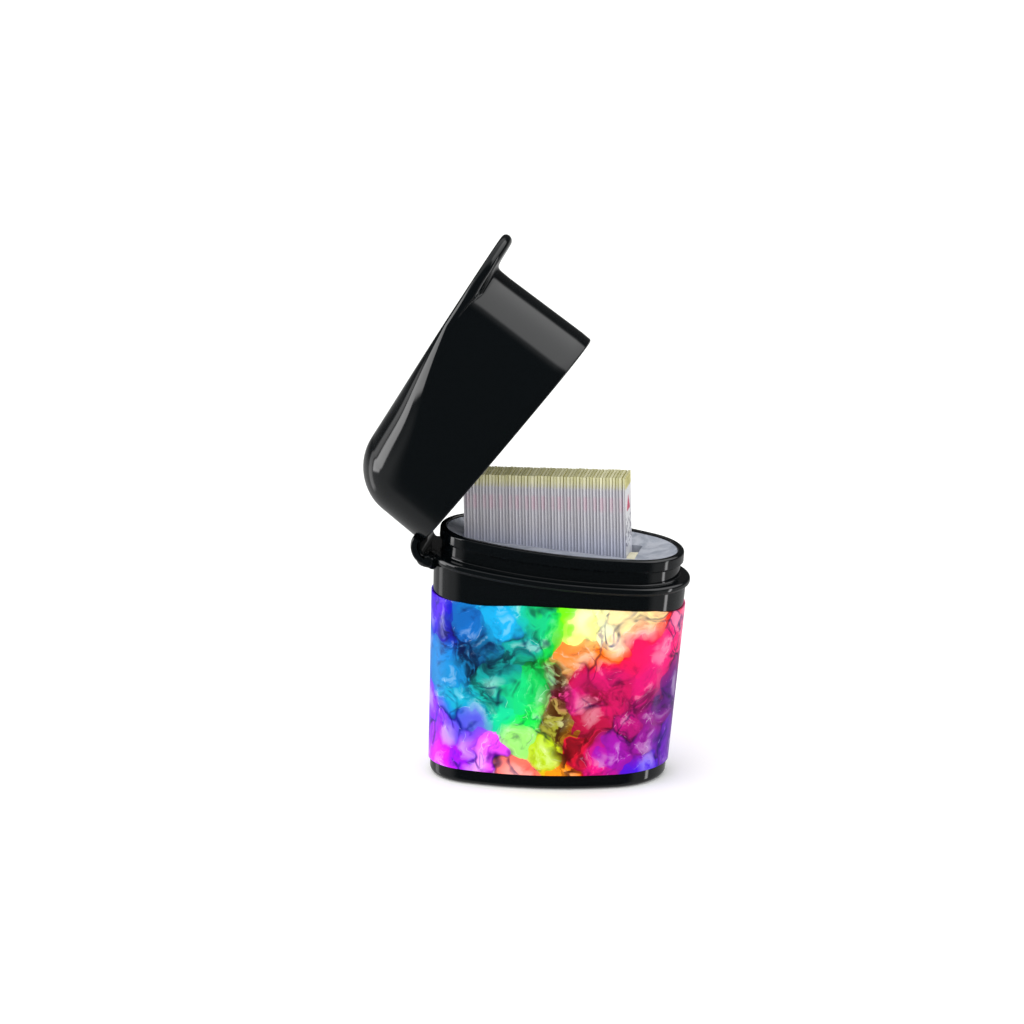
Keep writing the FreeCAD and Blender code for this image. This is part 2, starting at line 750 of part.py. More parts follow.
def arrow_outline(sketch):
    """Plain arrow head that points at the dosing edge."""
    foot = "strip_top - arrow_top - arrow_height"
    polygon(
        sketch,
        (("-arrow_width / 2", foot), ("arrow_width / 2", foot), ("0", "strip_top - arrow_top")),
    )


# layer: outline, face the layer starts from, thickness
LAYERS = {
    "base_film": (base_outline, "0", "base_film"),
    "electrodes": (electrode_outline, "base_film", "electrode_film"),
    "spacer": (spacer_outline, "base_film + electrode_film", "spacer_film"),
    "cover_film": (cover_outline, "base_film + electrode_film + spacer_film", "cover_film"),
    "dose_band": (dose_outline, "base_film + electrode_film + spacer_film + cover_film", "print_film"),
    "arrow": (arrow_outline, "base_film + electrode_film + spacer_film + cover_film", "print_film"),
}


def make_strip_layer(group, layer, first, count):
    """One layer of a run of strips, as a linear pattern along +X."""
    outline, face, thickness = LAYERS[layer]
    body = new_body(f"{group}_{layer}")
    body.AllowCompound = True
    sketch = new_sketch(body, "Outline", role="YZ_Plane")
    place = f"strip_first + ({first}) * strip_pitch + {face}"
    sketch.AttachmentOffset = FreeCAD.Placement(FreeCAD.Vector(0, 0, value(place)), FreeCAD.Rotation())
    bind(sketch, "AttachmentOffset.Base.z", place)
    outline(sketch)
    made = pad(body, "Layer", sketch, thickness)
    if count != "1":
        row = body.newObject("PartDesign::LinearPattern", "Row")
        row.Originals = [made]
        row.Direction = (origin_plane(body, "X_Axis"), [""])
        bind(row, "Length", f"({count} - 1) * strip_pitch")
        bind(row, "Occurrences", count)
        body.Tip = row
        doc.recompute()
    return body


# ---------------------------------------------------------------- build, check, export


def check(parts):
    for thing in doc.Objects:
        if "Invalid" in thing.State or "Error" in thing.State:
            raise RuntimeError(f"{thing.Name} failed: {thing.State}")
    for part in parts:
        if part.Shape.isNull() or not part.Shape.isValid() or part.Shape.Volume <= 0:
            raise RuntimeError(f"{part.Name} has no valid shape")


def build():
    fill_sheet()
    parts = [
        make_vial_body(),
        make_hinge_film(),
        make_printed_wrap(),
        make_strip_holder(),
        make_desiccant_liners(),
        make_lid_shell(),
        make_lid_seal(),
    ]
    parts += [make_strip_layer("stack", layer, "0", "strip_count - 1") for layer in LAYERS]
    parts += [make_strip_layer("end_strip", layer, "strip_count - 1", "1") for layer in LAYERS]
    for part in parts:
        part.Label = part.Name
    doc.recompute()
    return parts


def export(parts):
    os.makedirs("parts", exist_ok=True)
    for part in parts:
        part.Shape.exportStep(f"parts/{part.Label}.step")
        print(part.Label, round(part.Shape.Volume, 2), "mm3", len(part.Shape.Solids), "solids")


model = build()
check(model)
export(model)
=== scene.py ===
import json
import math

import bmesh
import bpy
import numpy as np
from mathutils import Matrix, Vector


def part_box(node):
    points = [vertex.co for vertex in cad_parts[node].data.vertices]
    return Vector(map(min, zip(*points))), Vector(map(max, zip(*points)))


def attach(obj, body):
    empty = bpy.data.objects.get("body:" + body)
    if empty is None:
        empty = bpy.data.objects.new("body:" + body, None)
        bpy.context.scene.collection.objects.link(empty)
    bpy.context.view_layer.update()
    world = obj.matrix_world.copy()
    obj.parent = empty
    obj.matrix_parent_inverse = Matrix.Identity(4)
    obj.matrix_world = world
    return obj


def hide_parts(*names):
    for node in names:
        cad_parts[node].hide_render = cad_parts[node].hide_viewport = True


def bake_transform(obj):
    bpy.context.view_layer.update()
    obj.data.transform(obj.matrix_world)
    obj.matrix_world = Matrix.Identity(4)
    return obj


# Looks of the flip-top strip vial.  Lengths below are millimetres in the row frame; meshes are
# made in metres.  The shapes stand on the record's hinge and on the boxes of the CAD nodes.

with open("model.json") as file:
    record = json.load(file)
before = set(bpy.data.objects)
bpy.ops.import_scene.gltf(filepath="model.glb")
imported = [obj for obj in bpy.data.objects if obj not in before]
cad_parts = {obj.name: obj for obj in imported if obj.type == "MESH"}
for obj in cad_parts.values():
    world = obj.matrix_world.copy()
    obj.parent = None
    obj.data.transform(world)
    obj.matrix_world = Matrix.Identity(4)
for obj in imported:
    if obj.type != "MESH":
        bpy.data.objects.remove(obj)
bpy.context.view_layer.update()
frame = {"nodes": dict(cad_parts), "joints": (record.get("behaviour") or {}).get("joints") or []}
MM = 0.001

# Slopes and openings of the object, degrees.
PARTING_ANGLE = 5.8
LID_TOP_ANGLE = 6.8
LID_OPEN_ANGLE = 56.0

# Hinge axis in the parting frame.
HINGE_REACH = 27.6
HINGE_HEIGHT = 0.45

# Points around each oval ring.
RING = 240

# Camera: width of the view on the object and where its middle lies, millimetres.
VIEW_WIDTH = 196.92
VIEW_LEFT = 5.77
VIEW_UP = 16.29
CAMERA_DISTANCE = 1890.0
# The same camera's angles, degrees.
CAMERA_TURN = 10.62
CAMERA_RISE = 15.74
CAMERA_ROLL = -1.28


def box_mm(node):
    """Low and high corner of a CAD node's box, in millimetres."""
    low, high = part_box(node)
    return np.array(low) / MM, np.array(high) / MM


def hinge_point():
    """Place of the lid's hinge in the record."""
    joint = next(j for j in frame["joints"] if j["name"] == "lid_hinge")
    return Vector(joint["pos_m"]) / MM


# ---- frames of the object


def parting_frame():
    """Sloping frame shared by the flange, the rim, the insert's edge and the shut lid."""
    turn = Matrix.Rotation(math.radians(PARTING_ANGLE), 4, "Y")
    return Matrix.Translation(hinge_point()) @ turn @ Matrix.Translation((HINGE_REACH, 0, -HINGE_HEIGHT))


def lid_frame():
    """Frame of the lid as it stands open."""
    hinge = Matrix.Translation((-HINGE_REACH, 0, HINGE_HEIGHT))
    swing = Matrix.Rotation(math.radians(-LID_OPEN_ANGLE), 4, "Y")
    return parting_frame() @ hinge @ swing @ hinge.inverted()


def moved(matrix, points):
    """Apply a 4x4 matrix to an array of points."""
    turn = np.array(matrix)
    return points @ turn[:3, :3].T + turn[:3, 3]


# ---- outlines

# A corner this close to straight, as half of its angle in radians, is not rounded.
NEARLY_STRAIGHT = 1.55


class Oval:
    """Four-arc oval whose points are named by the direction they face."""

    def __init__(self, half_length, half_depth, end_radius, centre=0.0):
        self.spread = half_length - end_radius
        self.end = end_radius
        self.side = (self.spread**2 + half_depth**2 - end_radius**2) / (2 * (half_depth - end_radius))
        self.drop = self.side - half_depth
        self.swing = math.atan2(self.spread, self.drop)
        self.centre = centre

    def inset(self, distance):
        """Parallel oval inside this one."""
        half_length = self.spread + self.end - distance
        half_depth = self.side - self.drop - distance
        return Oval(half_length, half_depth, self.end - distance, self.centre)

    def points(self, facing):
        """Points of the outline that face the given directions."""
        across, along = np.sin(facing), np.cos(facing)
        on_end = np.abs(across) < math.cos(self.swing)
        x = np.where(on_end, np.sign(along) * self.spread + self.end * along, self.side * along)
        y = np.where(on_end, self.end * across, self.side * across - np.sign(across) * self.drop)
        return np.stack([x + self.centre, y], axis=1)

    def depth_of(self, points):
        """Distance inside the outline, for points inside it."""
        x = np.abs(points[:, 0] - self.centre)
        y = np.abs(points[:, 1])
        on_side = x < (y + self.drop) * math.tan(self.swing)
        to_side = self.side - np.hypot(x, y + self.drop)
        to_end = self.end - np.hypot(x - self.spread, y)
        return np.where(on_side, to_side, to_end)


def even_facings(outline):
    """Facing directions that share out an outline's length evenly, from the back round."""
    fine = np.linspace(0.5, 2.5, 8001) * math.pi
    points = outline.points(fine)
    length = np.concatenate([[0], np.cumsum(np.hypot(*np.diff(points, axis=0).T))])
    return np.interp(np.arange(RING) / RING * length[-1], length, fine)


LID_HALF_LENGTH = 25.9
BASE = Oval(22.9, 13.0, 11.2)
FLANGE = Oval(25.25, 14.45, 12.1)
LID = Oval(LID_HALF_LENGTH, 15.0, 12.65, -0.7)
VISOR = Oval(23.4, 13.0, 8.5, 8.0)
FACING = even_facings(FLANGE)
OUTWARD = np.stack([np.cos(FACING), np.sin(FACING)], axis=1)


def at_height(flat, height):
    """Plan points lifted to one height, or each to its own."""
    return np.column_stack([flat, np.full(len(flat), height)])


def level_ring(outline, height):
    """Ring of an outline at one height of its own frame."""
    return at_height(outline.points(FACING), height)


def rounded(corners, steps=7):
    """Open path through corners (a, b, radius) with each inner corner turned by an arc."""
    path = [np.array(corners[0][:2], float)]
    for before, (a, b, radius), after in zip(corners, corners[1:], corners[2:]):
        here = np.array([a, b], float)
        to_before = np.array(before[:2]) - here
        to_after = np.array(after[:2]) - here
        to_before /= np.linalg.norm(to_before)
        to_after /= np.linalg.norm(to_after)
        half = math.acos(float(np.clip(to_before @ to_after, -1, 1))) / 2
        if radius == 0 or half > NEARLY_STRAIGHT:
            path.append(here)
            continue
        inward = to_before + to_after
        middle = here + inward / np.linalg.norm(inward) * radius / math.sin(half)
        first = here + to_before * radius / math.tan(half) - middle
        last = here + to_after * radius / math.tan(half) - middle
        sweep = math.pi - 2 * half
        for step in range(steps + 1):
            share = step / steps
            weight_first = math.sin((1 - share) * sweep) / math.sin(sweep)
            weight_last = math.sin(share * sweep) / math.sin(sweep)
            path.append(middle + weight_first * first + weight_last * last)
    path.append(np.array(corners[-1][:2], float))
    return path


def smooth_step(low, high, amount):
    """Share of the way from low to high that an amount has gone, eased at both ends."""
    share = np.clip((amount - low) / (high - low), 0, 1)
    return share * share * (3 - 2 * share)


# ---- mesh making


def placed(name, data):
    """New object in the scene."""
    thing = bpy.data.objects.new(name, data)
    bpy.context.scene.collection.objects.link(thing)
    return thing


def add_mesh(name, points, faces, smooth=True):
    """Object from points in millimetres; a smooth one gets face-weighted normals."""
    mesh = bpy.data.meshes.new(name)
    mesh.from_pydata([tuple(p * MM) for p in points], [], [tuple(f) for f in faces])
    shape = bmesh.new()
    shape.from_mesh(mesh)
    bmesh.ops.recalc_face_normals(shape, faces=shape.faces)
    shape.to_mesh(mesh)
    shape.free()
    thing = placed(name, mesh)
    if smooth:
        mesh.shade_smooth()
        weighted = thing.modifiers.new("weighted_normals", "WEIGHTED_NORMAL")
        weighted.weight = 80
        weighted.use_face_influence = False
    return thing


def band_faces(rows, count, closed=True):
    """Quads between successive rows of points."""
    faces = []
    span = count if closed else count - 1
    for row in range(rows - 1):
        low, high = row * count, (row + 1) * count
        for i in range(span):
            j = (i + 1) % count
            faces.append((low + i, low + j, high + j, high + i))
    return faces


def prism_faces(start, count):
    """Faces of a prism whose two ends are the next two runs of points."""
    low, high = start, start + count
    faces = [tuple(range(low, high)), tuple(range(high + count - 1, high - 1, -1))]
    for i in range(count):
        j = (i + 1) % count
        faces.append((low + j, low + i, high + i, high + j))
    return faces


def skin(name, rings, smooth=True):
    """Closed solid from rings; the first and last ring are capped towards their middles."""
    rings = list(rings)
    count = len(rings[0])
    faces = band_faces(len(rings), count)
    points = np.concatenate(rings)
    poles = [rings[0].mean(axis=0), rings[-1].mean(axis=0)]
    first_pole = len(points)
    last_pole = first_pole + 1
    top = (len(rings) - 1) * count
    for i in range(count):
        j = (i + 1) % count
        faces.append((first_pole, j, i))
        faces.append((last_pole, top + i, top + j))
    return add_mesh(name, np.concatenate([points, poles]), faces, smooth)


def tab(name, outline, heights, edge, place, steps=6):
    """Flat tab: a closed plan outline thickened between two heights, both rims rounded."""
    low, high = heights
    outline = np.array(outline)
    along = np.roll(outline, -1, axis=0) - np.roll(outline, 1, axis=0)
    outward = np.stack([along[:, 1], -along[:, 0]], axis=1)
    outward /= np.linalg.norm(outward, axis=1)[:, None]
    rings = []
    for middle, start in ((low + edge, -math.pi / 2), (high - edge, 0.0)):
        for step in range(steps + 1):
            turn = start + step / steps * math.pi / 2
            flat = outline - outward * edge * (1 - math.cos(turn))
            rings.append(at_height(flat, middle + edge * math.sin(turn)))
    return skin(name, [moved(place, ring) for ring in rings])


# ---- shader helpers

WHITE = (1.0, 1.0, 1.0)


class Graph:
    """Small wrapper that adds and links shader nodes."""

    def __init__(self, tree):
        self.tree = tree
        self.tree.nodes.clear()

    def feed(self, socket, source):
        """Link a socket to another node's output, or set its value."""
        if isinstance(source, bpy.types.NodeSocket):
            self.tree.links.new(source, socket)
        elif isinstance(source, (tuple, list)) and len(source) == 3 and len(socket.default_value) == 4:
            socket.default_value = (*source, 1.0)
        else:
            socket.default_value = source

    def node(self, kind, sources=None, **settings):
        """Outputs of a new node; its inputs are fed by name or by number."""
        made = self.tree.nodes.new("ShaderNode" + kind)
        for name, setting in settings.items():
            setattr(made, name, setting)
        for name, source in (sources or {}).items():
            self.feed(made.inputs[name], source)
        return made.outputs

    def math(self, operation, first, second=0.0):
        return self.node("Math", {0: first, 1: second}, operation=operation)[0]

    def product(self, first, *others):
        for other in others:
            first = self.math("MULTIPLY", first, other)
        return first

    def away(self, amount, line):
        """Distance of an amount from a value, either way."""
        return self.math("ABSOLUTE", self.math("SUBTRACT", amount, line))

    def vector(self, operation, first, second):
        return self.node("VectorMath", {0: first, 1: second}, operation=operation)["Vector"]

    def scaled(self, vector, share):
        return self.node("VectorMath", {0: vector, "Scale": share}, operation="SCALE")["Vector"]

    def distance(self, first, second):
        return self.node("VectorMath", {0: first, 1: second}, operation="DISTANCE")["Value"]

    def stirred(self, place, drift, reach):
        """Place pushed about by a noise colour, half of the reach each way."""
        push = self.vector("SUBTRACT", drift, (0.5, 0.5, 0.5))
        return self.vector("ADD", place, self.scaled(push, reach))

    def parts(self, vector):
        return self.node("SeparateXYZ", {0: vector})

    def ramp(self, amount, low, high, to_low=0.0, to_high=1.0, smooth=True):
        """Map an amount from low..high to to_low..to_high."""
        sources = dict(enumerate((amount, low, high, to_low, to_high)))
        kind = "SMOOTHSTEP" if smooth else "LINEAR"
        return self.node("MapRange", sources, interpolation_type=kind)["Result"]

    def mix(self, amount, first, second, blend="MIX"):
        sources = {0: amount, 6: first, 7: second}
        return self.node("Mix", sources, data_type="RGBA", blend_type=blend)[2]

    def stain(self, amount, under, tint):
        """Colour deepened by a tint."""
        return self.mix(amount, under, self.vector("MULTIPLY", under, tint))

    def bleach(self, amount, under, share):
        """Colour taken a share of the way to white."""
        return self.mix(amount, under, self.mix(share, under, WHITE))

    def noise(self, place, scale, detail=4.0, rough=0.55, warp=0.0):
        """Value and colour of a noise."""
        sources = {"Vector": place, "Scale": scale, "Detail": detail, "Roughness": rough, "Distortion": warp}
        made = self.node("TexNoise", sources)
        return made["Fac"], made["Color"]

    def cells(self, place, scale, kind="F1"):
        """Outputs of a flat Voronoi pattern."""
        sources = {"Vector": place, "Scale": scale}
        return self.node("TexVoronoi", sources, feature=kind, voronoi_dimensions="2D")

    def place(self):
        """Object coordinates in millimetres."""
        return self.scaled(self.node("TexCoord")["Object"], 1 / MM)

    def bump(self, height, depth):
        """Normal of a relief whose depth is in millimetres."""
        sources = {"Strength": 1.0, "Distance": depth * MM, "Height": height}
        return self.node("Bump", sources)["Normal"]

    def surface(self, **inputs):
        """Principled surface; input names use underscores for spaces."""
        sources = {name.replace("_", " "): source for name, source in inputs.items()}
        shader = self.node("BsdfPrincipled", sources)[0]
        self.node("OutputMaterial", {"Surface": shader})


def new_material(name):
    """Material and the graph of its empty node tree."""
    material = bpy.data.materials.new(name)
    material.use_nodes = True
    return material, Graph(material.node_tree)


# ---- vial

BASE_ROUNDING = 1.2
FLANGE_THICKNESS = 1.4
WALL_INSET = 0.75
NECK_INSET = 2.1
COLLAR_INSET = 1.55
# Heights between which the neck steps out to its collar.
COLLAR_STEP = (2.55, 2.85)
RIM = 5.1
MOUTH_INSET = 2.8
MOUTH_DEPTH = 1.9
CAVITY_INSET = 3.2
FLOOR = 1.5
WALL = 1.3


def wall_rings(outset, shares):
    """Rings on the vial wall, moved outwards; share 0 is the base and 1 the flange."""
    low = level_ring(BASE.inset(-outset), BASE_ROUNDING)
    high = moved(parting_frame(), level_ring(FLANGE.inset(WALL_INSET - outset), -FLANGE_THICKNESS))
    return [low + (high - low) * share for share in shares]


def make_vial(steps=8):
    """One-piece vial: rounded base, wall, flange, neck with collar, rim and open inside."""
    place = parting_frame()
    rings = []
    for step in range(steps + 1):
        turn = step / steps * math.pi / 2
        inset = BASE_ROUNDING * (1 - math.sin(turn))
        rings.append(level_ring(BASE.inset(inset), BASE_ROUNDING * (1 - math.cos(turn))))
    rings += wall_rings(0.0, (0.03, 0.5, 0.96))
    # Inset from the flange, height over the parting plane, rounding.
    outside = rounded((
        (WALL_INSET, -FLANGE_THICKNESS - 1.0, 0),
        (WALL_INSET, -FLANGE_THICKNESS, 0.35),
        (0.0, -FLANGE_THICKNESS, 0.5),
        (0.0, 0.0, 0.6),
        (NECK_INSET, 0.0, 0.4),
        (NECK_INSET, COLLAR_STEP[0], 0.25),
        (COLLAR_INSET, COLLAR_STEP[1], 0.25),
        (COLLAR_INSET, RIM, 0.6),
        (MOUTH_INSET, RIM, 0.3),
        (MOUTH_INSET, RIM - MOUTH_DEPTH, 0),
        (CAVITY_INSET, RIM - MOUTH_DEPTH, 0),
    ))
    rings += [moved(place, level_ring(FLANGE.inset(inset), height)) for inset, height in outside[1:]]
    rings.append(level_ring(BASE.inset(WALL), FLOOR))
    return skin("vial_shell", rings)


# ---- printed wrap

WRAP_BOTTOM = 3.0
# Drop of the wrap's upper edge below the flange at places along the vial.
WRAP_TOP = ((-23, 8.0), (-18, 7.6), (-12, 6.9), (-5, 5.6), (3, 4.9), (12, 4.6), (19, 4.7), (23, 5.7))
# Outer and inner face of the wrap over the vial wall.
WRAP_FACES = (0.35, 0.05)
WRAP_ROWS = 25
# Each side of the open seam at the back.
SEAM = 0.25


def wrap_sheets():
    """Outer and inner face of the wrap: rows of points from the lower to the upper edge."""
    upright = np.array(parting_frame())[:3, 2]
    origin = np.array(parting_frame())[:3, 3]
    sheets = []
    for outset in WRAP_FACES:
        low, high = wall_rings(outset, (0.0, 1.0))
        rise = high - low
        start = (WRAP_BOTTOM - low[:, 2]) / rise[:, 2]
        drop = np.interp(low[:, 0], *zip(*WRAP_TOP))
        stop = (-drop - (low - origin) @ upright) / (rise @ upright)
        shares = np.linspace(start, stop, WRAP_ROWS)
        sheets.append(low + rise * shares[:, :, None])
    return sheets


def opened(sheet):
    """Sheet whose rows end where they start, with the two ends drawn apart at the seam."""
    rows = np.concatenate([sheet, sheet[:, :1]], axis=1)
    shift = rows[:, 1] - rows[:, 0]
    shift *= SEAM / np.linalg.norm(shift, axis=1)[:, None]
    rows[:, 0] += shift
    rows[:, -1] -= shift
    return rows


def wrap_faces():
    """Faces of the outer and inner sheet and of the edges that join them."""
    count = RING + 1
    size = WRAP_ROWS * count
    faces = band_faces(WRAP_ROWS, count, closed=False)
    faces += [tuple(i + size for i in reversed(face)) for face in faces]
    top = size - count
    for i in range(RING):
        faces.append((i + 1, i, size + i, size + i + 1))
        faces.append((top + i, top + i + 1, size + top + i + 1, size + top + i))
    for low in range(0, top, count):
        high = low + count
        faces.append((low, high, size + high, size + low))
        faces.append((high + RING, low + RING, size + low + RING, size + high + RING))
    return faces


def make_wrap():
    """Printed vinyl on the wall, open at the back; its UV is millimetres round and up."""
    outer, inner = wrap_sheets()
    middle = outer[WRAP_ROWS // 2]
    steps = np.linalg.norm(np.roll(middle, -1, axis=0) - middle, axis=1)
    round_way = np.concatenate([[0], np.cumsum(steps)])
    points = np.concatenate([opened(sheet).reshape(-1, 3) for sheet in (outer, inner)])
    thing = add_mesh("printed_wrap_skin", points, wrap_faces())
    layer = thing.data.uv_layers.new(name="wrap_mm")
    for loop in thing.data.loops:
        index = loop.vertex_index % (len(points) // 2)
        across = round_way[index % (RING + 1)] - round_way[-1] / 2
        layer.data[loop.index].uv = (across, points[index][2])
    return thing


# ---- hinge

# Plan of each hinge tab: root and end along the vial, half width, corner.
VIAL_TAB_PLAN = (-22.6, 0.5 - HINGE_REACH, 7.4, 2.6)
LID_TAB_PLAN = (-25.0, 1.0 - HINGE_REACH, 6.2, 0.9)
# Low and high side of each tab, and the rounding of its rims.
VIAL_TAB_HEIGHTS = (-2.6, 0.05)
VIAL_TAB_EDGE = 1.1
LID_TAB_HEIGHTS = (0.6, 1.7)
LID_TAB_EDGE = 0.45
STRAP_HALF_WIDTH = 7.2
STRAP_THICKNESS = 1.9
STRAP_STEPS = 18
# Controls of the strap's curve, along and up: first in the parting frame, then in the lid's.
STRAP_START = ((-25.0, -1.1), (-26.9, -1.2))
STRAP_END = ((-26.9, 1.2), (-25.2, 1.3))
# Rounded sides of the strap: inset, share of the thickness.
STRAP_SIDES = ((0.0, 0.45), (0.15, 0.8), (0.6, 1.0))


def tab_outline(inner, outer, half_width, corner):
    """Plan of a hinge tab: square where it joins, rounded corners where it ends."""
    return rounded((
        (inner, half_width, 0),
        (outer, half_width, corner),
        (outer, -half_width, corner),
        (inner, -half_width, 0),
    ))


def make_tabs():
    """Tab of the vial and tab of the lid, which face each other across the hinge."""
    vial_plan, lid_plan = tab_outline(*VIAL_TAB_PLAN), tab_outline(*LID_TAB_PLAN)
    return (
        tab("vial_hinge_tab", vial_plan, VIAL_TAB_HEIGHTS, VIAL_TAB_EDGE, parting_frame()),
        tab("lid_hinge_tab", lid_plan, LID_TAB_HEIGHTS, LID_TAB_EDGE, lid_frame()),
    )


def make_strap():
    """Living hinge that curls from the vial's tab round the axis to the lid's tab."""
    start = [parting_frame() @ Vector((along, 0, up)) for along, up in STRAP_START]
    end = [lid_frame() @ Vector((along, 0, up)) for along, up in STRAP_END]
    t = np.linspace(0, 1, STRAP_STEPS)[:, None]
    rest = 1 - t
    blends = (rest**3, 3 * rest**2 * t, 3 * rest * t**2, t**3)
    line = sum(weight * control for weight, control in zip(blends, np.array(start + end)))
    along = np.gradient(line, axis=0)
    normal = np.stack([-along[:, 2], np.zeros(STRAP_STEPS), along[:, 0]], axis=1)
    normal *= STRAP_THICKNESS / 2 / np.linalg.norm(normal, axis=1)[:, None]
    outline = np.concatenate([line - normal, (line + normal)[::-1]])
    middle = np.concatenate([line, line[::-1]])
    near_side = [(inset - STRAP_HALF_WIDTH, share) for inset, share in STRAP_SIDES]
    far_side = [(-offset, share) for offset, share in reversed(near_side)]
    sides = near_side + far_side
    rings = [middle + (outline - middle) * share + np.array((0, offset, 0)) for offset, share in sides]
    return skin("hinge_strap", rings), start[1] * MM, end[0] * MM


# ---- lid

LID_WALL = 1.2
LID_GAP = 0.1
LID_HEIGHT = 19.4
# How far the front wall leans back at its top.
FRONT_LEAN = 0.9
# Rounding of the lid's top: over the hinge end, at the start of the sides and at the front,
# and how it falls along the sides from DOME_END on.
REAR_RADIUS = 9.2
DOME_RADIUS = 10.8
DOME_END = -9.0
DOME_EASE = 3.0
DOME_SLOPE = 0.41
FRONT_RADIUS = 1.5
TIP_RADIUS = 1.15
# Fillet between the front wall and the visor: depth, least depth, straight part and fullness.
VISOR_FILLET = 0.9
LEAST_FILLET = 0.4
WALL_END = 2.0
FILLET_PULL = 1.3
# Rims of the lid outside and inside: inset from the lid's outline, height.
OUTER_RIM = ((0.5, LID_GAP), (0.2, LID_GAP + 0.08), (0.0, LID_GAP + 0.35), (0.0, 2.5))
INNER_RIM = ((LID_WALL, 4.0), (LID_WALL, LID_GAP + 0.3), (LID_WALL - 0.25, LID_GAP))
# Point of the lid's top that its rings close in on.
TOP_MIDDLE = np.array((2.0, 0.0))


def under_top(flat, drop):
    """Plan points put under the lid's sloping top plane by a drop."""
    top = LID_HEIGHT + (flat[:, 0] + LID_HALF_LENGTH) * math.tan(math.radians(LID_TOP_ANGLE))
    return at_height(flat, top - drop)


def leaning(wall):
    """Wall outline at the lid's top, where the front wall leans back a little."""
    moved_back = wall.copy()
    moved_back[:, 0] -= FRONT_LEAN * smooth_step(0.0, 1.0, OUTWARD[:, 0])
    return moved_back


def visor_reach(wall):
    """How far the visor's outline stands outside the lid wall, along the wall's normals."""
    reach = np.zeros(len(wall))
    for _ in range(60):
        depth = VISOR.depth_of(wall + OUTWARD * reach[:, None])
        reach = np.maximum(reach + depth, 0)
    kernel = np.hanning(21)
    padded = np.concatenate([reach[-10:], reach, reach[:10]])
    return np.convolve(padded, kernel / kernel.sum(), "valid")


def top_rounding(wall):
    """Radius between lid side and top: a dome over the hinge end, tight at the visor."""
    ahead = np.logaddexp(0, (wall[:, 0] - DOME_END) / DOME_EASE) * DOME_EASE
    side = np.maximum(DOME_RADIUS - DOME_SLOPE * ahead, FRONT_RADIUS)
    return side + (REAR_RADIUS - side) * smooth_step(0.0, 1.0, -OUTWARD[:, 0])


def lid_ring(wall, outset, drop):
    """Ring outside the wall by an outset and under the top plane by a drop."""
    return under_top(wall + OUTWARD * outset[:, None], drop)


def top_rings(edge, shares, drop=0.0):
    """Rings in the lid's top that close in from its edge towards the middle."""
    return [under_top(TOP_MIDDLE + (edge - TOP_MIDDLE) * share, drop) for share in shares]


def fillet_rings(wall, outset, drop, visor, start):
    """Rings up the wall's top end and out in a smooth curve to where the edge starts to turn."""
    wall_drop = drop + LEAST_FILLET + VISOR_FILLET * visor
    rings = [lid_ring(wall, np.zeros(RING), wall_drop + WALL_END)]
    pull = FILLET_PULL * np.hypot(outset, wall_drop - drop)
    for t in np.linspace(0, 1, 13):
        leave, leave_pull = 2 * t**3 - 3 * t**2 + 1, t**3 - 2 * t**2 + t
        arrive, arrive_pull = 3 * t**2 - 2 * t**3, t**3 - t**2
        out = arrive * outset - arrive_pull * pull * np.sin(start)
        down = leave * wall_drop - leave_pull * pull + arrive * drop - arrive_pull * pull * np.cos(start)
        rings.append(lid_ring(wall, out, down))
    return rings


def lid_outside(wall, steps=16):
    """Rings up the outside of the lid: rim, wall, fillet under the visor, rounded edge, top."""
    reach = visor_reach(wall)
    visor = smooth_step(0.0, 3.0, reach)
    radius = top_rounding(wall)
    radius = radius + (TIP_RADIUS - radius) * visor
    # Direction in which the edge starts to turn: up the wall, or outwards under the visor.
    start = -math.pi / 2 * smooth_step(0.0, 4.0, reach)

    def on_edge(turn):
        return reach - radius + radius * np.cos(turn), radius - radius * np.sin(turn)

    rings = [level_ring(LID.inset(inset), height) for inset, height in OUTER_RIM]
    rings += fillet_rings(wall, *on_edge(start), visor, start)
    for step in range(1, steps + 1):
        turn = start + (math.pi / 2 - start) * step / steps
        rings.append(lid_ring(wall, *on_edge(turn)))
    return rings + top_rings(rings[-1][:, :2], (0.8, 0.4))


def lid_inside(wall, steps=8):
    """Rings down the inside of the lid: top, rounded edge, wall and rim."""
    inner_wall = leaning(LID.inset(LID_WALL).points(FACING))
    radius = np.maximum(top_rounding(wall) - 3.0, 0.8)
    rings = top_rings(inner_wall - OUTWARD * radius[:, None], (0.3, 0.9), LID_WALL)
    for step in range(steps + 1):
        turn = math.pi / 2 * (1 - step / steps)
        drop = LID_WALL + radius * (1 - math.sin(turn))
        rings.append(lid_ring(inner_wall, radius * (math.cos(turn) - 1), drop))
    return rings + [level_ring(LID.inset(inset), height) for inset, height in INNER_RIM]


def make_lid():
    """Hollow lid whose top runs out into a rounded visor over the front."""
    wall = leaning(LID.points(FACING))
    rings = lid_inside(wall) + lid_outside(wall)
    return skin("lid_cover", [moved(lid_frame(), ring) for ring in rings])


# ---- insert and liners

LINER_LOW, LINER_HIGH = box_mm("desiccant_liners")
LINER_TOP = LINER_HIGH[2]
LINER_HALF_GAP = 3.3
# Raised stop at the front end of the liners.
STOP_TOP = 44.3
STOP_BACK = 16.95
SLOT_LEFT = LINER_LOW[0]
SLOT_RIGHT = 18.6
SLOT_HALF_WIDTH = LINER_HIGH[1]
# Tray of the insert: gap to the mouth, and its edge, underside and slot below the rim.
TRAY_GAP = 0.1
TRAY_EDGE = 0.35
TRAY_UNDERSIDE = 1.8
TRAY_SLOT = 1.3
POCKET_WALL = 1.0
POCKET_TOP = 1.3
# Height at which the slot's outline is carried over into the sloping frame.
SLOT_LEVEL = 40.0


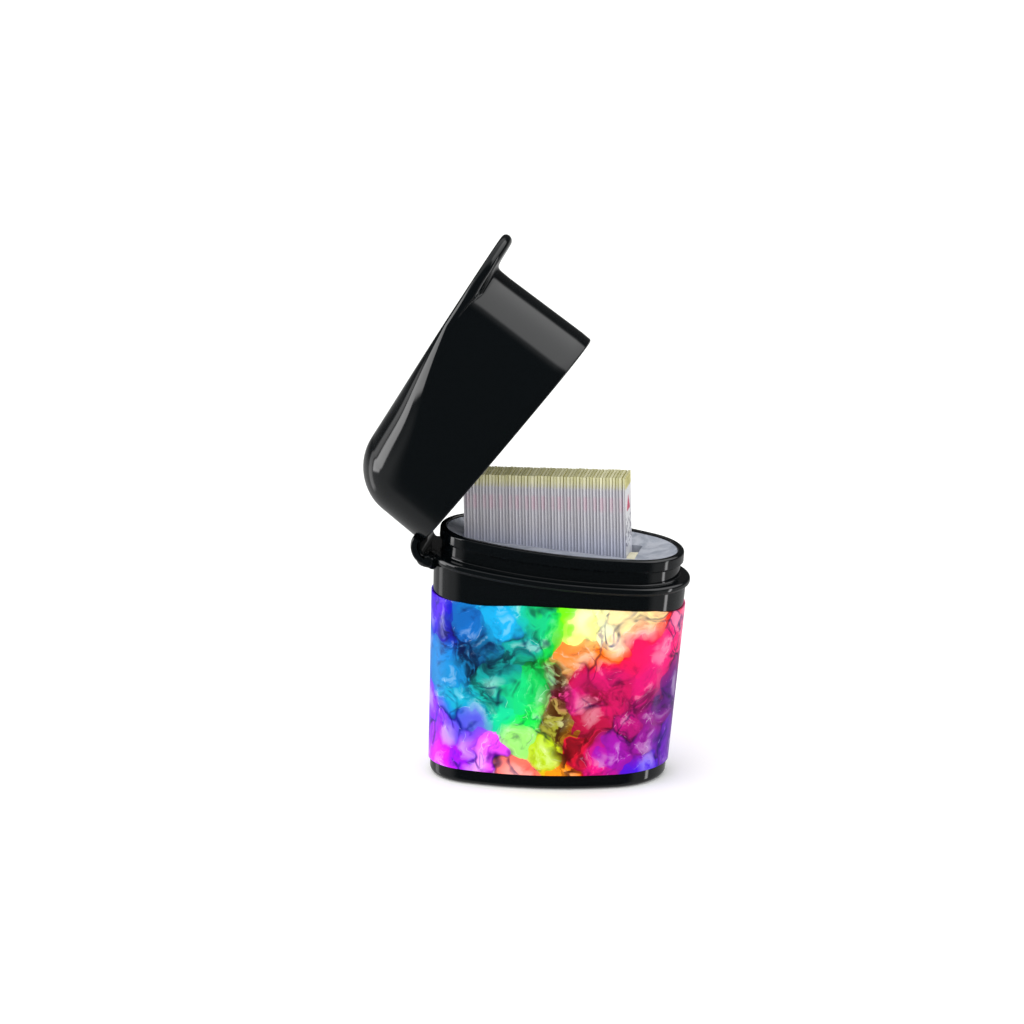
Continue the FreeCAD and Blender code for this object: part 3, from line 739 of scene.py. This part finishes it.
def slot_points(ring, margin=0.0):
    """Where a ring's points land on the slot's outline, widened by a margin."""
    x = np.clip(ring[:, 0], SLOT_LEFT - margin, SLOT_RIGHT + margin)
    y = np.clip(ring[:, 1], -SLOT_HALF_WIDTH - margin, SLOT_HALF_WIDTH + margin)
    return np.column_stack([x, y])


def make_insert():
    """Tray on the rim that dips in flat facets to the slot, with the strip pocket below."""
    place = parting_frame()
    outline = FLANGE.inset(MOUTH_INSET + TRAY_GAP)
    edge = moved(place, level_ring(outline, RIM - TRAY_EDGE))
    underside = moved(place, level_ring(outline, RIM - TRAY_UNDERSIDE))
    slot = slot_points(edge)
    sloping = moved(place.inverted(), at_height(slot, SLOT_LEVEL))
    lip_height = moved(place, at_height(sloping[:, :2], RIM - TRAY_SLOT))[:, 2]
    pocket = slot_points(edge, POCKET_WALL)
    bottom = box_mm("strip_holder")[0][2]
    rings = [
        at_height(pocket, bottom), at_height(pocket, lip_height - POCKET_TOP), underside, edge,
        at_height(slot, lip_height), at_height(slot, bottom + POCKET_WALL),
    ]
    return skin("insert_tray", rings, smooth=False)


def make_liners():
    """Desiccant bars along the strip pocket, with a raised stop at their front end."""
    near_bar = (
        (SLOT_LEFT, LOW), (SLOT_RIGHT, LOW), (SLOT_RIGHT, STOP_TOP), (STOP_BACK, STOP_TOP),
        (STOP_BACK, LINER_TOP), (SLOT_LEFT, LINER_TOP),
    )
    far_bar = ((SLOT_LEFT, LOW), (SLOT_RIGHT, LOW), (SLOT_RIGHT, LINER_TOP), (SLOT_LEFT, LINER_TOP))
    stop = ((STOP_BACK, LINER_TOP), (SLOT_RIGHT, LINER_TOP), (SLOT_RIGHT, STOP_TOP), (STOP_BACK, STOP_TOP))
    bars = (
        (near_bar, -SLOT_HALF_WIDTH, -LINER_HALF_GAP),
        (far_bar, LINER_HALF_GAP, SLOT_HALF_WIDTH),
        (stop, -LINER_HALF_GAP, 0.0),
    )
    points, faces = [], []
    for side, low_y, high_y in bars:
        faces += prism_faces(len(points), len(side))
        points += [np.array((x, y, z)) for y in (low_y, high_y) for x, z in side]
    return add_mesh("desiccant_bars", points, faces, smooth=False)


# ---- strips

STRIPS = 50
STRIP_LOW, STRIP_HIGH = box_mm("stack_base_film")
FIRST, LOW = STRIP_LOW[0], STRIP_LOW[2]
HALF_WIDTH, TOP = STRIP_HIGH[1], STRIP_HIGH[2]
PITCH = (box_mm("end_strip_base_film")[0][0] - FIRST) / (STRIPS - 1)
# Height of the cover film's lower edge over the strip's foot.
COVER_START = 8.0
CHANNEL_DEPTH = 3.2
GOLDEN_SHARE = 0.6180339


def rectangle(half, low, high):
    """Corners of a rectangle about the middle of the strip."""
    return ((-half, low), (half, low), (half, high), (-half, high))


def electrode_plan(outer=2.4, inner=0.9, bridge=1.5):
    """Two printed tracks joined by a bridge near the strip's top."""
    top = TOP - 3.0
    return (
        (-outer, LOW), (-inner, LOW), (-inner, top - bridge), (inner, top - bridge),
        (inner, LOW), (outer, LOW), (outer, top), (-outer, top),
    )


def spacer_plan(half_channel=0.6):
    """Adhesive spacer, open at the top in a narrow channel."""
    foot, channel = LOW + COVER_START, TOP - CHANNEL_DEPTH
    return (
        (-HALF_WIDTH, foot), (HALF_WIDTH, foot), (HALF_WIDTH, TOP), (half_channel, TOP),
        (half_channel, channel), (-half_channel, channel), (-half_channel, TOP), (-HALF_WIDTH, TOP),
    )


# Layer: plan in y and z, start from the strip's back, thickness.
LAYERS = {
    "base_film": (rectangle(HALF_WIDTH, LOW, TOP), 0.04, 0.30),
    "electrodes": (electrode_plan(), 0.34, 0.03),
    "spacer": (spacer_plan(), 0.37, 0.09),
    "cover_film": (rectangle(HALF_WIDTH, LOW + COVER_START, TOP), 0.46, 0.06),
    "dose_band": (rectangle(HALF_WIDTH, TOP - 2.3, TOP), 0.52, 0.02),
    "arrow": (((-1.7, TOP - 6.9), (1.7, TOP - 6.9), (0, TOP - 3.9)), 0.52, 0.02),
}


def strip_sway():
    """How each strip stands: slide along the row, lean, height and shift across the row."""
    chance = np.random.default_rng(11)
    slide = chance.uniform(-0.02, 0.02, STRIPS)
    lean = chance.uniform(-0.0006, 0.0006, STRIPS)
    rise = chance.uniform(-0.10, 0.0, STRIPS)
    aside = chance.uniform(-0.05, 0.05, STRIPS)
    return np.column_stack([slide, lean, rise, aside])


SWAY = strip_sway()


def make_layer(group, layer, strips):
    """One layer of a run of strips as plates that follow how each strip stands."""
    plan, back, thickness = LAYERS[layer]
    points, faces, shades = [], [], []
    for strip in strips:
        slide, lean, rise, aside = SWAY[strip]
        added = prism_faces(len(points), len(plan))
        for x in (back, back + thickness):
            for y, z in plan:
                along = FIRST + strip * PITCH + slide + x + (z - LOW) * lean
                points.append(np.array([along, y + aside, z + rise]))
        faces += added
        shades += [(strip * GOLDEN_SHARE) % 1.0] * len(added)
    thing = add_mesh(f"{group}_{layer}_plates", points, faces, smooth=False)
    shade = thing.data.attributes.new("strip_shade", "FLOAT", "FACE")
    shade.data.foreach_set("value", shades)
    return thing


# ---- materials

# Painted glow: emission of the thin translucent strips, as a share of their colour.
STRIP_PAINTED_GLOW = 0.1


def colour(text):
    """Linear colour of a hex string."""
    shares = [int(text[i:i + 2], 16) / 255 for i in (0, 2, 4)]
    return tuple(c / 12.92 if c <= 0.04045 else ((c + 0.055) / 1.055) ** 2.4 for c in shares)


def moulded_black():
    """Gloss black moulding: faint orange peel, handling haze and a few fine specks."""
    material, graph = new_material("moulded_black")
    place = graph.place()
    haze, _ = graph.noise(place, 0.09, 5.0)
    peel, _ = graph.noise(place, 0.55, 2.0)
    specks, _ = graph.noise(place, 6.0, 2.0)
    tone = graph.mix(graph.ramp(specks, 0.72, 0.8), (0.0022, 0.0034, 0.0042), (0.010, 0.011, 0.012))
    graph.surface(
        Base_Color=tone, Roughness=graph.ramp(haze, 0.35, 0.7, 0.06, 0.10),
        Normal=graph.bump(peel, 0.004), Specular_IOR_Level=0.5,
    )
    return material


def soft_rubber():
    """Matt grey sealing rubber with a fine grain."""
    material, graph = new_material("soft_rubber")
    grain, _ = graph.noise(graph.place(), 3.0, 4.0)
    tone = graph.mix(grain, (0.02, 0.02, 0.021), (0.05, 0.05, 0.052))
    graph.surface(Base_Color=tone, Roughness=0.62, Normal=graph.bump(grain, 0.02))
    return material


def silver_insert():
    """Satin silver-blue insert: flow marks, mottling and a fine grain."""
    material, graph = new_material("silver_insert")
    place = graph.place()
    flow, _ = graph.noise(place, 0.22, 5.0, 0.6, 1.2)
    mottle, _ = graph.noise(place, 1.3, 4.0)
    grain, _ = graph.noise(place, 7.0, 2.0)
    tone = graph.mix(graph.ramp(flow, 0.35, 0.65), colour("9ea5b2"), colour("c6cad4"))
    tone = graph.mix(graph.ramp(mottle, 0.55, 0.75, 0.0, 0.4), tone, colour("8f96a4"))
    graph.surface(
        Base_Color=tone, Roughness=graph.ramp(mottle, 0.3, 0.7, 0.28, 0.42),
        Normal=graph.bump(grain, 0.015), Metallic=0.15,
    )
    return material


def cream_liner():
    """Chalky cream desiccant plastic with pits."""
    material, graph = new_material("cream_liner")
    place = graph.place()
    chalk, _ = graph.noise(place, 0.8, 5.0)
    pits, _ = graph.noise(place, 4.0, 3.0)
    tone = graph.mix(chalk, colour("c9c3a4"), colour("efead2"))
    tone = graph.mix(graph.ramp(pits, 0.62, 0.72, 0.0, 0.5), tone, colour("a39c7c"))
    graph.surface(Base_Color=tone, Roughness=0.7, Normal=graph.bump(pits, 0.03))
    return material


def strip_plastic(name, body_tone, low_tone, roughness, marks=False):
    """Strip film: olive top, faint pink zone, cooler foot, each strip a little different, and a painted
    glow.
    """
    material, graph = new_material(name)
    share = graph.node("Attribute", attribute_name="strip_shade")["Fac"]
    depth = graph.math("SUBTRACT", TOP, graph.parts(graph.place())[2])
    grain, _ = graph.noise(graph.place(), 2.2, 4.0)
    tone = graph.mix(graph.ramp(depth, 9.0, 15.0), colour(body_tone), colour(low_tone))
    dark = graph.scaled(WHITE, graph.ramp(share, 0.0, 1.0, 0.80, 1.04, smooth=False))
    tone = graph.mix(1.0, tone, dark, blend="MULTIPLY")
    pinkness = graph.product(
        graph.ramp(depth, 3.6, 4.4), graph.ramp(depth, 6.2, 7.4, 1.0, 0.0),
        graph.ramp(share, 0.3, 0.95, 0.04, 0.26),
    )
    tone = graph.mix(pinkness, tone, colour("e08aa8"))
    if marks:
        smudge, _ = graph.noise(graph.place(), 0.9, 3.0, 0.6, 0.8)
        inked = graph.product(
            graph.ramp(depth, 8.0, 8.6), graph.ramp(depth, 13.6, 14.2, 1.0, 0.0),
            graph.ramp(smudge, 0.5, 0.58, 0.0, 0.8),
        )
        tone = graph.mix(inked, tone, colour("4a4468"))
    wave = graph.product(graph.math("SUBTRACT", grain, 0.5), 0.5)
    below_edge = graph.math("SUBTRACT", depth, graph.math("ADD", 1.7, wave))
    olive = graph.mix(share, colour("c6c392"), colour("e4e1bc"))
    tone = graph.mix(graph.ramp(below_edge, -0.9, 1.3, 1.0, 0.0), tone, olive)
    # Painted glow: the film emits a share of its own colour.
    graph.surface(
        Base_Color=tone, Roughness=roughness, Normal=graph.bump(grain, 0.008),
        Emission_Color=tone, Emission_Strength=STRIP_PAINTED_GLOW,
    )
    return material


def strip_ink(name, light, deep):
    """Printed ink with uneven coverage."""
    material, graph = new_material(name)
    cover, _ = graph.noise(graph.place(), 1.8, 4.0)
    tone = graph.mix(graph.ramp(cover, 0.3, 0.7), colour(light), colour(deep))
    graph.surface(Base_Color=tone, Roughness=0.4, Normal=graph.bump(cover, 0.004))
    return material


# ---- printed artwork

# Height of the whole print.  Places on it are given in per cent.
PRINT_HEIGHT = 34.0
PETAL_SCALE = 0.17
FLECK_SCALE = 0.40
SATURATION = 1.3
GAMMA = 1.24
# Painted glow of the print: emission as a share of its colour, which keeps it bright and flat.
WRAP_PAINTED_GLOW = 0.25

# Ink washes of the front: place across as the camera sees it, place up, colour.
WASHES = (
    (2, 95, "8060e8"), (7, 84, "1018a8"), (3, 66, "1a98dc"), (14, 88, "0f74bc"), (26, 90, "0cb0e0"),
    (20, 72, "066c9c"), (10, 56, "1c94cc"), (30, 62, "089c9c"), (36, 80, "10a8a0"), (43, 90, "22cc90"),
    (46, 74, "1cd060"), (52, 92, "9cf070"), (60, 90, "fcfdb8"), (71, 88, "fffdd8"), (82, 93, "ffecc0"),
    (90, 95, "f8405c"), (97, 88, "ffb0c8"), (56, 74, "f4b088"), (70, 76, "ffa478"), (83, 70, "f03878"),
    (95, 74, "ff74a4"), (62, 58, "c8146c"), (73, 60, "d81078"), (88, 58, "e02484"), (55, 47, "e078a8"),
    (41, 56, "20c868"), (34, 46, "1cd88c"), (22, 47, "14b4a4"), (12, 42, "38b4cc"), (3, 30, "b888ff"),
    (14, 25, "8f8ce0"), (29, 33, "44dca8"), (41, 33, "78f090"), (14, 12, "c880ff"), (4, 6, "e878ff"),
    (27, 10, "ec90f4"), (38, 20, "b8eca0"), (47, 12, "c8e070"), (38, 3, "ffa8a0"), (53, 3, "ffb050"),
    (51, 30, "a8a860"), (62, 30, "bc0c50"), (60, 14, "d82848"), (71, 42, "d80c70"), (79, 52, "cc0868"),
    (88, 42, "b40878"), (92, 27, "900c88"), (80, 28, "b80680"), (97, 38, "640e86"), (85, 16, "98069a"),
    (95, 12, "7a28b8"), (74, 10, "a82cb0"), (66, 3, "f02890"), (90, 3, "6c48e0"),
)
# Washes of the back: millimetres round from the middle of the front, place up, colour.
BACK_WASHES = (
    (38, 80, "ff90c0"), (37, 30, "70188a"), (46, 70, "f05090"), (45, 25, "5a30c0"), (54, 75, "c060e0"),
    (54, 25, "3060d8"), (60, 60, "7a5cf0"), (61, 20, "38a0e8"), (-34, 80, "4a38d8"), (-34, 30, "a070f0"),
    (-43, 70, "2090e0"), (-43, 20, "d080f0"), (-52, 75, "30b8d0"), (-52, 25, "8a78f0"), (-60, 50, "5a78f0"),
)
# Dark pools of ink on the front: place across, place up, reach in millimetres, colour.
DARK_BLOTS = (
    (17, 62, 7.0, "021430"), (7, 80, 6.0, "060450"), (21, 45, 4.5, "043848"), (30, 68, 6.0, "042c40"),
    (14, 74, 5.0, "04124c"), (86, 44, 5.0, "600448"), (66, 48, 5.0, "7a0830"), (63, 20, 5.0, "6a1020"),
    (40, 60, 4.0, "065028"),
)
# Long dark streams: noise scale, width, strength.
STREAMS = ((0.06, 0.02, 0.7), (0.11, 0.03, 0.5))
# Brown crack up the front: place across of its foot and head, place up of its head, colour.
CRACK = (57.5, 48.5, 66, "4a1c14")


def print_height(place):
    """Millimetres up for a place up the print."""
    return WRAP_BOTTOM + place / 100 * PRINT_HEIGHT


def round_the_front(wrap):
    """Function from a place across the front, as the camera sees it, to millimetres round."""
    points = np.array([v.co for v in wrap.data.vertices]) / MM
    layer = wrap.data.uv_layers["wrap_mm"].data
    round_way = {loop.vertex_index: layer[loop.index].uv[0] for loop in wrap.data.loops}
    turn = math.radians(CAMERA_TURN)
    first_of_row = WRAP_ROWS // 2 * (RING + 1)
    row = sorted((round_way[i], points[i]) for i in range(first_of_row, first_of_row + RING + 1))
    ways = np.array([way for way, _ in row])
    seen = np.array([p[0] * math.cos(turn) + p[1] * math.sin(turn) for _, p in row])
    first, last = int(seen.argmin()), int(seen.argmax())
    shares = (seen[first:last + 1] - seen[first]) / (seen[last] - seen[first])
    return lambda place: float(np.interp(place / 100, shares, ways[first:last + 1]))


def merged_washes(graph, warped, to_way):
    """Every place takes the colours of the washes near it, snapped a little to petals."""
    petals = graph.cells(warped, PETAL_SCALE)["Position"]
    flecks = graph.cells(warped, FLECK_SCALE)["Position"]
    snapped = graph.vector("ADD", graph.scaled(petals, 0.6), graph.scaled(flecks, 0.4))
    spot = graph.vector("ADD", graph.scaled(snapped, 0.5), graph.scaled(warped, 0.5))
    patches = [(to_way(across), up, tone) for across, up, tone in WASHES] + list(BACK_WASHES)
    total, weights = (0.0, 0.0, 0.0), 0.0
    for way, up, tone in patches:
        away = graph.distance(spot, (way, print_height(up), 0.0))
        weight = graph.math("POWER", graph.math("ADD", away, 0.7), -5.0)
        total = graph.vector("ADD", total, graph.vector("MULTIPLY", colour(tone), weight))
        weights = graph.math("ADD", weights, weight)
    return graph.scaled(total, graph.math("DIVIDE", 1.0, weights))


def with_petals(graph, wash, warped, wisps, vein_mask):
    """Pale petal hearts, cloudy depths, dark petal rims and fine pale outlines."""
    cloud, _ = graph.noise(warped, 0.16, 5.0, 0.6)
    middle = graph.cells(warped, PETAL_SCALE)["Distance"]
    lighter = graph.product(graph.ramp(middle, 0.1, 0.6, 0.45, 0.0), graph.ramp(cloud, 0.40, 0.56))
    wash = graph.bleach(lighter, wash, 0.7)
    deeper = graph.product(graph.ramp(cloud, 0.5, 0.3), graph.ramp(wisps, 0.4, 0.62), 0.85)
    wash = graph.stain(deeper, wash, (0.3, 0.25, 0.45))
    edge = graph.cells(warped, PETAL_SCALE, "DISTANCE_TO_EDGE")["Distance"]
    rim = graph.product(graph.ramp(edge, 0.0, 0.12, 1.0, 0.0), graph.ramp(vein_mask, 0.46, 0.62), 0.75)
    wash = graph.stain(rim, wash, (0.12, 0.16, 0.3))
    fine_edge = graph.cells(warped, FLECK_SCALE, "DISTANCE_TO_EDGE")["Distance"]
    glow = graph.product(graph.ramp(fine_edge, 0.0, 0.05, 1.0, 0.0), graph.ramp(wisps, 0.5, 0.7), 0.6)
    return graph.bleach(glow, wash, 0.6)


def with_streams(graph, wash, flow, vein_mask):
    """Long dark lines along the middle value of a slow noise."""
    for scale, width, strength in STREAMS:
        stream, _ = graph.noise(flow, scale, 2.5, 0.45, 0.3)
        on_line = graph.ramp(graph.away(stream, 0.5), 0.0, width, 1.0, 0.0)
        line = graph.product(on_line, graph.ramp(vein_mask, 0.5, 0.6), strength)
        wash = graph.stain(line, wash, (0.12, 0.15, 0.35))
    return wash


def with_crack(graph, wash, warped, wisps, to_way):
    """Brown crack that leans across the middle of the front."""
    foot, head, top, tone = CRACK
    round_way, height, _ = graph.parts(warped)
    line = graph.ramp(height, WRAP_BOTTOM, print_height(top), to_way(foot), to_way(head), smooth=False)
    crack = graph.product(
        graph.ramp(graph.away(round_way, line), 0.0, 3.4, 1.0, 0.0),
        graph.ramp(height, print_height(top - 4), print_height(top + 6), 1.0, 0.0),
        graph.ramp(wisps, 0.42, 0.54), 0.9,
    )
    return graph.mix(crack, wash, colour(tone))


def with_blots(graph, wash, warped, wisps, to_way):
    """Dark pools of ink with ragged edges."""
    for across, up, reach, tone in DARK_BLOTS:
        away = graph.distance(warped, (to_way(across), print_height(up), 0.0))
        blot = graph.product(graph.ramp(away, 0.0, reach, 1.0, 0.0), graph.ramp(wisps, 0.36, 0.58), 0.9)
        wash = graph.mix(blot, wash, colour(tone))
    return wash


def enriched(graph, wash):
    """Colour with the print's saturation and depth."""
    rich = graph.node("HueSaturation", {"Saturation": SATURATION, "Color": wash})[0]
    return graph.node("Gamma", {"Color": rich, "Gamma": GAMMA})[0]


def ink_print(wrap):
    """Abstract alcohol-ink print: merging washes, petal edges, dark veins and specks, with a painted glow.
    """
    material, graph = new_material("ink_print")
    where = graph.node("UVMap", uv_map="wrap_mm")["UV"]
    _, drift = graph.noise(where, 0.10, 1.0, 0.5)
    _, ripple = graph.noise(where, 0.30, 1.5, 0.5)
    warped = graph.stirred(graph.stirred(where, drift, 9.0), ripple, 3.6)
    wisps, _ = graph.noise(warped, 0.42, 3.5, 0.55, 0.6)
    vein_mask, _ = graph.noise(where, 0.13, 3.0)
    to_way = round_the_front(wrap)
    wash = merged_washes(graph, warped, to_way)
    wash = with_petals(graph, wash, warped, wisps, vein_mask)
    wash = with_streams(graph, wash, graph.stirred(where, drift, 14.0), vein_mask)
    wash = with_crack(graph, wash, warped, wisps, to_way)
    wash = with_blots(graph, wash, warped, wisps, to_way)
    grit, _ = graph.noise(where, 2.6, 3.0, 0.7)
    specks = graph.product(graph.ramp(grit, 0.66, 0.72), graph.ramp(wisps, 0.5, 0.6), 0.5)
    wash = enriched(graph, graph.stain(specks, wash, (0.1, 0.1, 0.2)))
    # The print emits its own colour as a painted glow.
    graph.surface(
        Base_Color=wash, Roughness=0.28, Specular_IOR_Level=0.25,
        Emission_Color=wash, Emission_Strength=WRAP_PAINTED_GLOW, Normal=graph.bump(wisps, 0.006),
    )
    return material


# ---- stage, light and camera

EVERYWHERE = (-2.0, 2.0)
# Panels seen in reflections only, by direction: range across, in depth and in height, power,
# softness of their edges.
PANELS = (
    ((-2.0, -0.7), (-0.45, 0.2), (0.0, 0.6), 3.6, 0.03),
    ((-2.0, -0.7), (-0.1, 0.2), (-0.2, 0.0), 3.6, 0.03),
    ((0.35, 2.0), (-0.42, 0.71), (0.3, 0.95), 1.3, 0.05),
    ((0.6, 2.0), (0.05, 0.16), (-0.5, 0.1), 4.5, 0.03),
    ((-2.0, -0.6), (0.25, 0.45), (-0.5, 0.1), 0.9, 0.05),
    (EVERYWHERE, (-0.5, 2.0), (0.6, 2.0), 0.7, 0.15),
    (EVERYWHERE, (-0.45, 2.0), (-2.0, -0.1), 0.35, 0.15),
)
# Light between the panels, and even light on everything that is not a reflection.
STUDIO_FILL = 0.05
SKY_POWER = 0.84
FLOOR_TONE = (0.955, 0.965, 0.945)
# Light added to the paper, as an overexposed studio sweep.
FLOOR_LIFT = 0.12
# Key light: side and place in metres, power in watts, height in metres that it aims at.
KEY_SIDE = 1.3
KEY_PLACE = (-0.22, -0.25, 1.0)
KEY_POWER = 6.6
KEY_AIM = 0.04
# Height on the object's axis that the view is laid out from.
VIEW_CENTRE = 35.0


def make_world():
    """Even white light, and a studio of soft panels for glossy reflections only."""
    world = bpy.data.worlds.new("studio")
    bpy.context.scene.world = world
    world.use_nodes = True
    graph = Graph(world.node_tree)
    axes = graph.parts(graph.node("TexCoord")["Generated"])
    studio = STUDIO_FILL
    for *ranges, power, soft in PANELS:
        panel = power
        for axis, (low, high) in zip(axes, ranges):
            rise = graph.ramp(axis, low - soft, low + soft)
            fall = graph.ramp(axis, high - soft, high + soft, 1.0, 0.0)
            panel = graph.product(panel, graph.product(rise, fall))
        studio = graph.math("ADD", studio, panel)
    glossy = graph.node("LightPath")["Is Glossy Ray"]
    even = graph.product(graph.math("SUBTRACT", 1.0, glossy), SKY_POWER)
    power = graph.math("ADD", graph.product(studio, glossy), even)
    lit = graph.node("Background", {"Color": WHITE, "Strength": power})[0]
    graph.node("OutputWorld", {"Surface": lit})


def make_floor(half=4.0):
    """Plain pale floor; glossy rays pass through it to the studio panels."""
    mesh = bpy.data.meshes.new("floor")
    corners = [(-half, -half, 0), (half, -half, 0), (half, half, 0), (-half, half, 0)]
    mesh.from_pydata(corners, [], [(0, 1, 2, 3)])
    floor = placed("floor", mesh)
    material, graph = new_material("floor_paper")
    diffuse = graph.node("BsdfDiffuse", {"Color": FLOOR_TONE})[0]
    lift = graph.node("Emission", {"Color": WHITE, "Strength": FLOOR_LIFT})[0]
    paper = graph.node("AddShader", {0: diffuse, 1: lift})[0]
    clear = graph.node("BsdfTransparent")[0]
    glossy = graph.node("LightPath")["Is Glossy Ray"]
    mixed = graph.node("MixShader", {0: glossy, 1: paper, 2: clear})[0]
    graph.node("OutputMaterial", {"Surface": mixed})
    mesh.materials.append(material)


def make_light():
    """One large soft key from the upper left that drops the shadow to the right."""
    data = bpy.data.lights.new("key", "AREA")
    data.size = KEY_SIDE
    data.energy = KEY_POWER
    light = placed("key", data)
    light.location = KEY_PLACE
    aim = Vector((0, 0, KEY_AIM)) - light.location
    light.rotation_euler = aim.to_track_quat("-Z", "Y").to_euler()
    light.visible_glossy = False


def make_camera():
    """Long lens to the right of square-on, looking slightly down at the open vial."""
    turn, rise, roll = (math.radians(a) for a in (CAMERA_TURN, CAMERA_RISE, CAMERA_ROLL))
    right = Vector((math.cos(turn), math.sin(turn), 0))
    back = Vector((math.sin(turn) * math.cos(rise), -math.cos(turn) * math.cos(rise), math.sin(rise)))
    up = back.cross(right)
    place = Vector((0, 0, VIEW_CENTRE)) - right * VIEW_LEFT + up * VIEW_UP + back * CAMERA_DISTANCE
    data = bpy.data.cameras.new("camera")
    data.lens = data.sensor_width * CAMERA_DISTANCE / VIEW_WIDTH
    data.clip_end = 20
    camera = placed("camera", data)
    basis = Matrix((right, up, back)).transposed().to_4x4() @ Matrix.Rotation(roll, 4, "Z")
    camera.matrix_world = Matrix.Translation(place * MM) @ basis
    bpy.context.scene.camera = camera


# ---- assembly


def dress(thing, material):
    """Give a piece or CAD node its finish."""
    thing.data.materials.clear()
    thing.data.materials.append(material)


def stand_for(thing, body, material, slot_name, *nodes):
    """A piece that rides on one body and stands for CAD nodes."""
    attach(thing, body)
    dress(thing, material)
    if nodes:
        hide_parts(*nodes)


def assemble_case():
    """Vial, lid, hinge, seal, wrap, insert and liners."""
    black = moulded_black()
    stand_for(make_vial(), "vial", black, "vial_black", "vial_body")
    stand_for(make_lid(), "lid", black, "lid_black", "lid_shell")
    vial_tab, lid_tab = make_tabs()
    stand_for(vial_tab, "vial", black, "vial_black")
    stand_for(lid_tab, "lid", black, "lid_black")
    strap, strap_start, strap_end = make_strap()
    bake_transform(strap)
    dress(strap, black)
    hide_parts("hinge_film")
    dress(frame["nodes"]["lid_seal"], soft_rubber())
    wrap = make_wrap()
    stand_for(wrap, "vial", ink_print(wrap), "wrap_print", "printed_wrap")
    stand_for(make_insert(), "vial", silver_insert(), "holder_grey", "strip_holder")
    stand_for(make_liners(), "vial", cream_liner(), "liner_cream", "desiccant_liners")


def assemble_strips():
    """Both runs of strips, layer by layer; the end strip shows its printed face."""
    finishes = {
        "base_film": (strip_plastic("strip_base", "d2d0d6", "ccd0e2", 0.35), "strip_base"),
        "electrodes": (strip_ink("strip_electrode", "3a3a40", "1c1c20"), "strip_electrode"),
        "spacer": (strip_plastic("strip_spacer", "9a989e", "989cae", 0.5), "strip_spacer"),
        "cover_film": (strip_plastic("strip_cover", "bab8c2", "b8bccc", 0.3), "strip_cover"),
        "dose_band": (strip_ink("strip_dose", "b8b05c", "e0d992"), "strip_dose_ink"),
        "arrow": (strip_ink("strip_arrow", "e2567c", "c22a58"), "strip_arrow_ink"),
    }
    printed_face = strip_plastic("strip_face", "f0f0f4", "e6e8f2", 0.25, marks=True)
    runs = {"stack": (range(STRIPS - 1), "strip_stack"), "end_strip": ((STRIPS - 1,), "end_strip")}
    for group, (strips, body) in runs.items():
        for layer, (material, slot_name) in finishes.items():
            if (group, layer) == ("end_strip", "cover_film"):
                material = printed_face
            plates = make_layer(group, layer, strips)
            stand_for(plates, body, material, slot_name, f"{group}_{layer}")


assemble_case()
assemble_strips()
make_world()
make_floor()
make_light()
make_camera()
bpy.context.scene.view_settings.view_transform = "Standard"
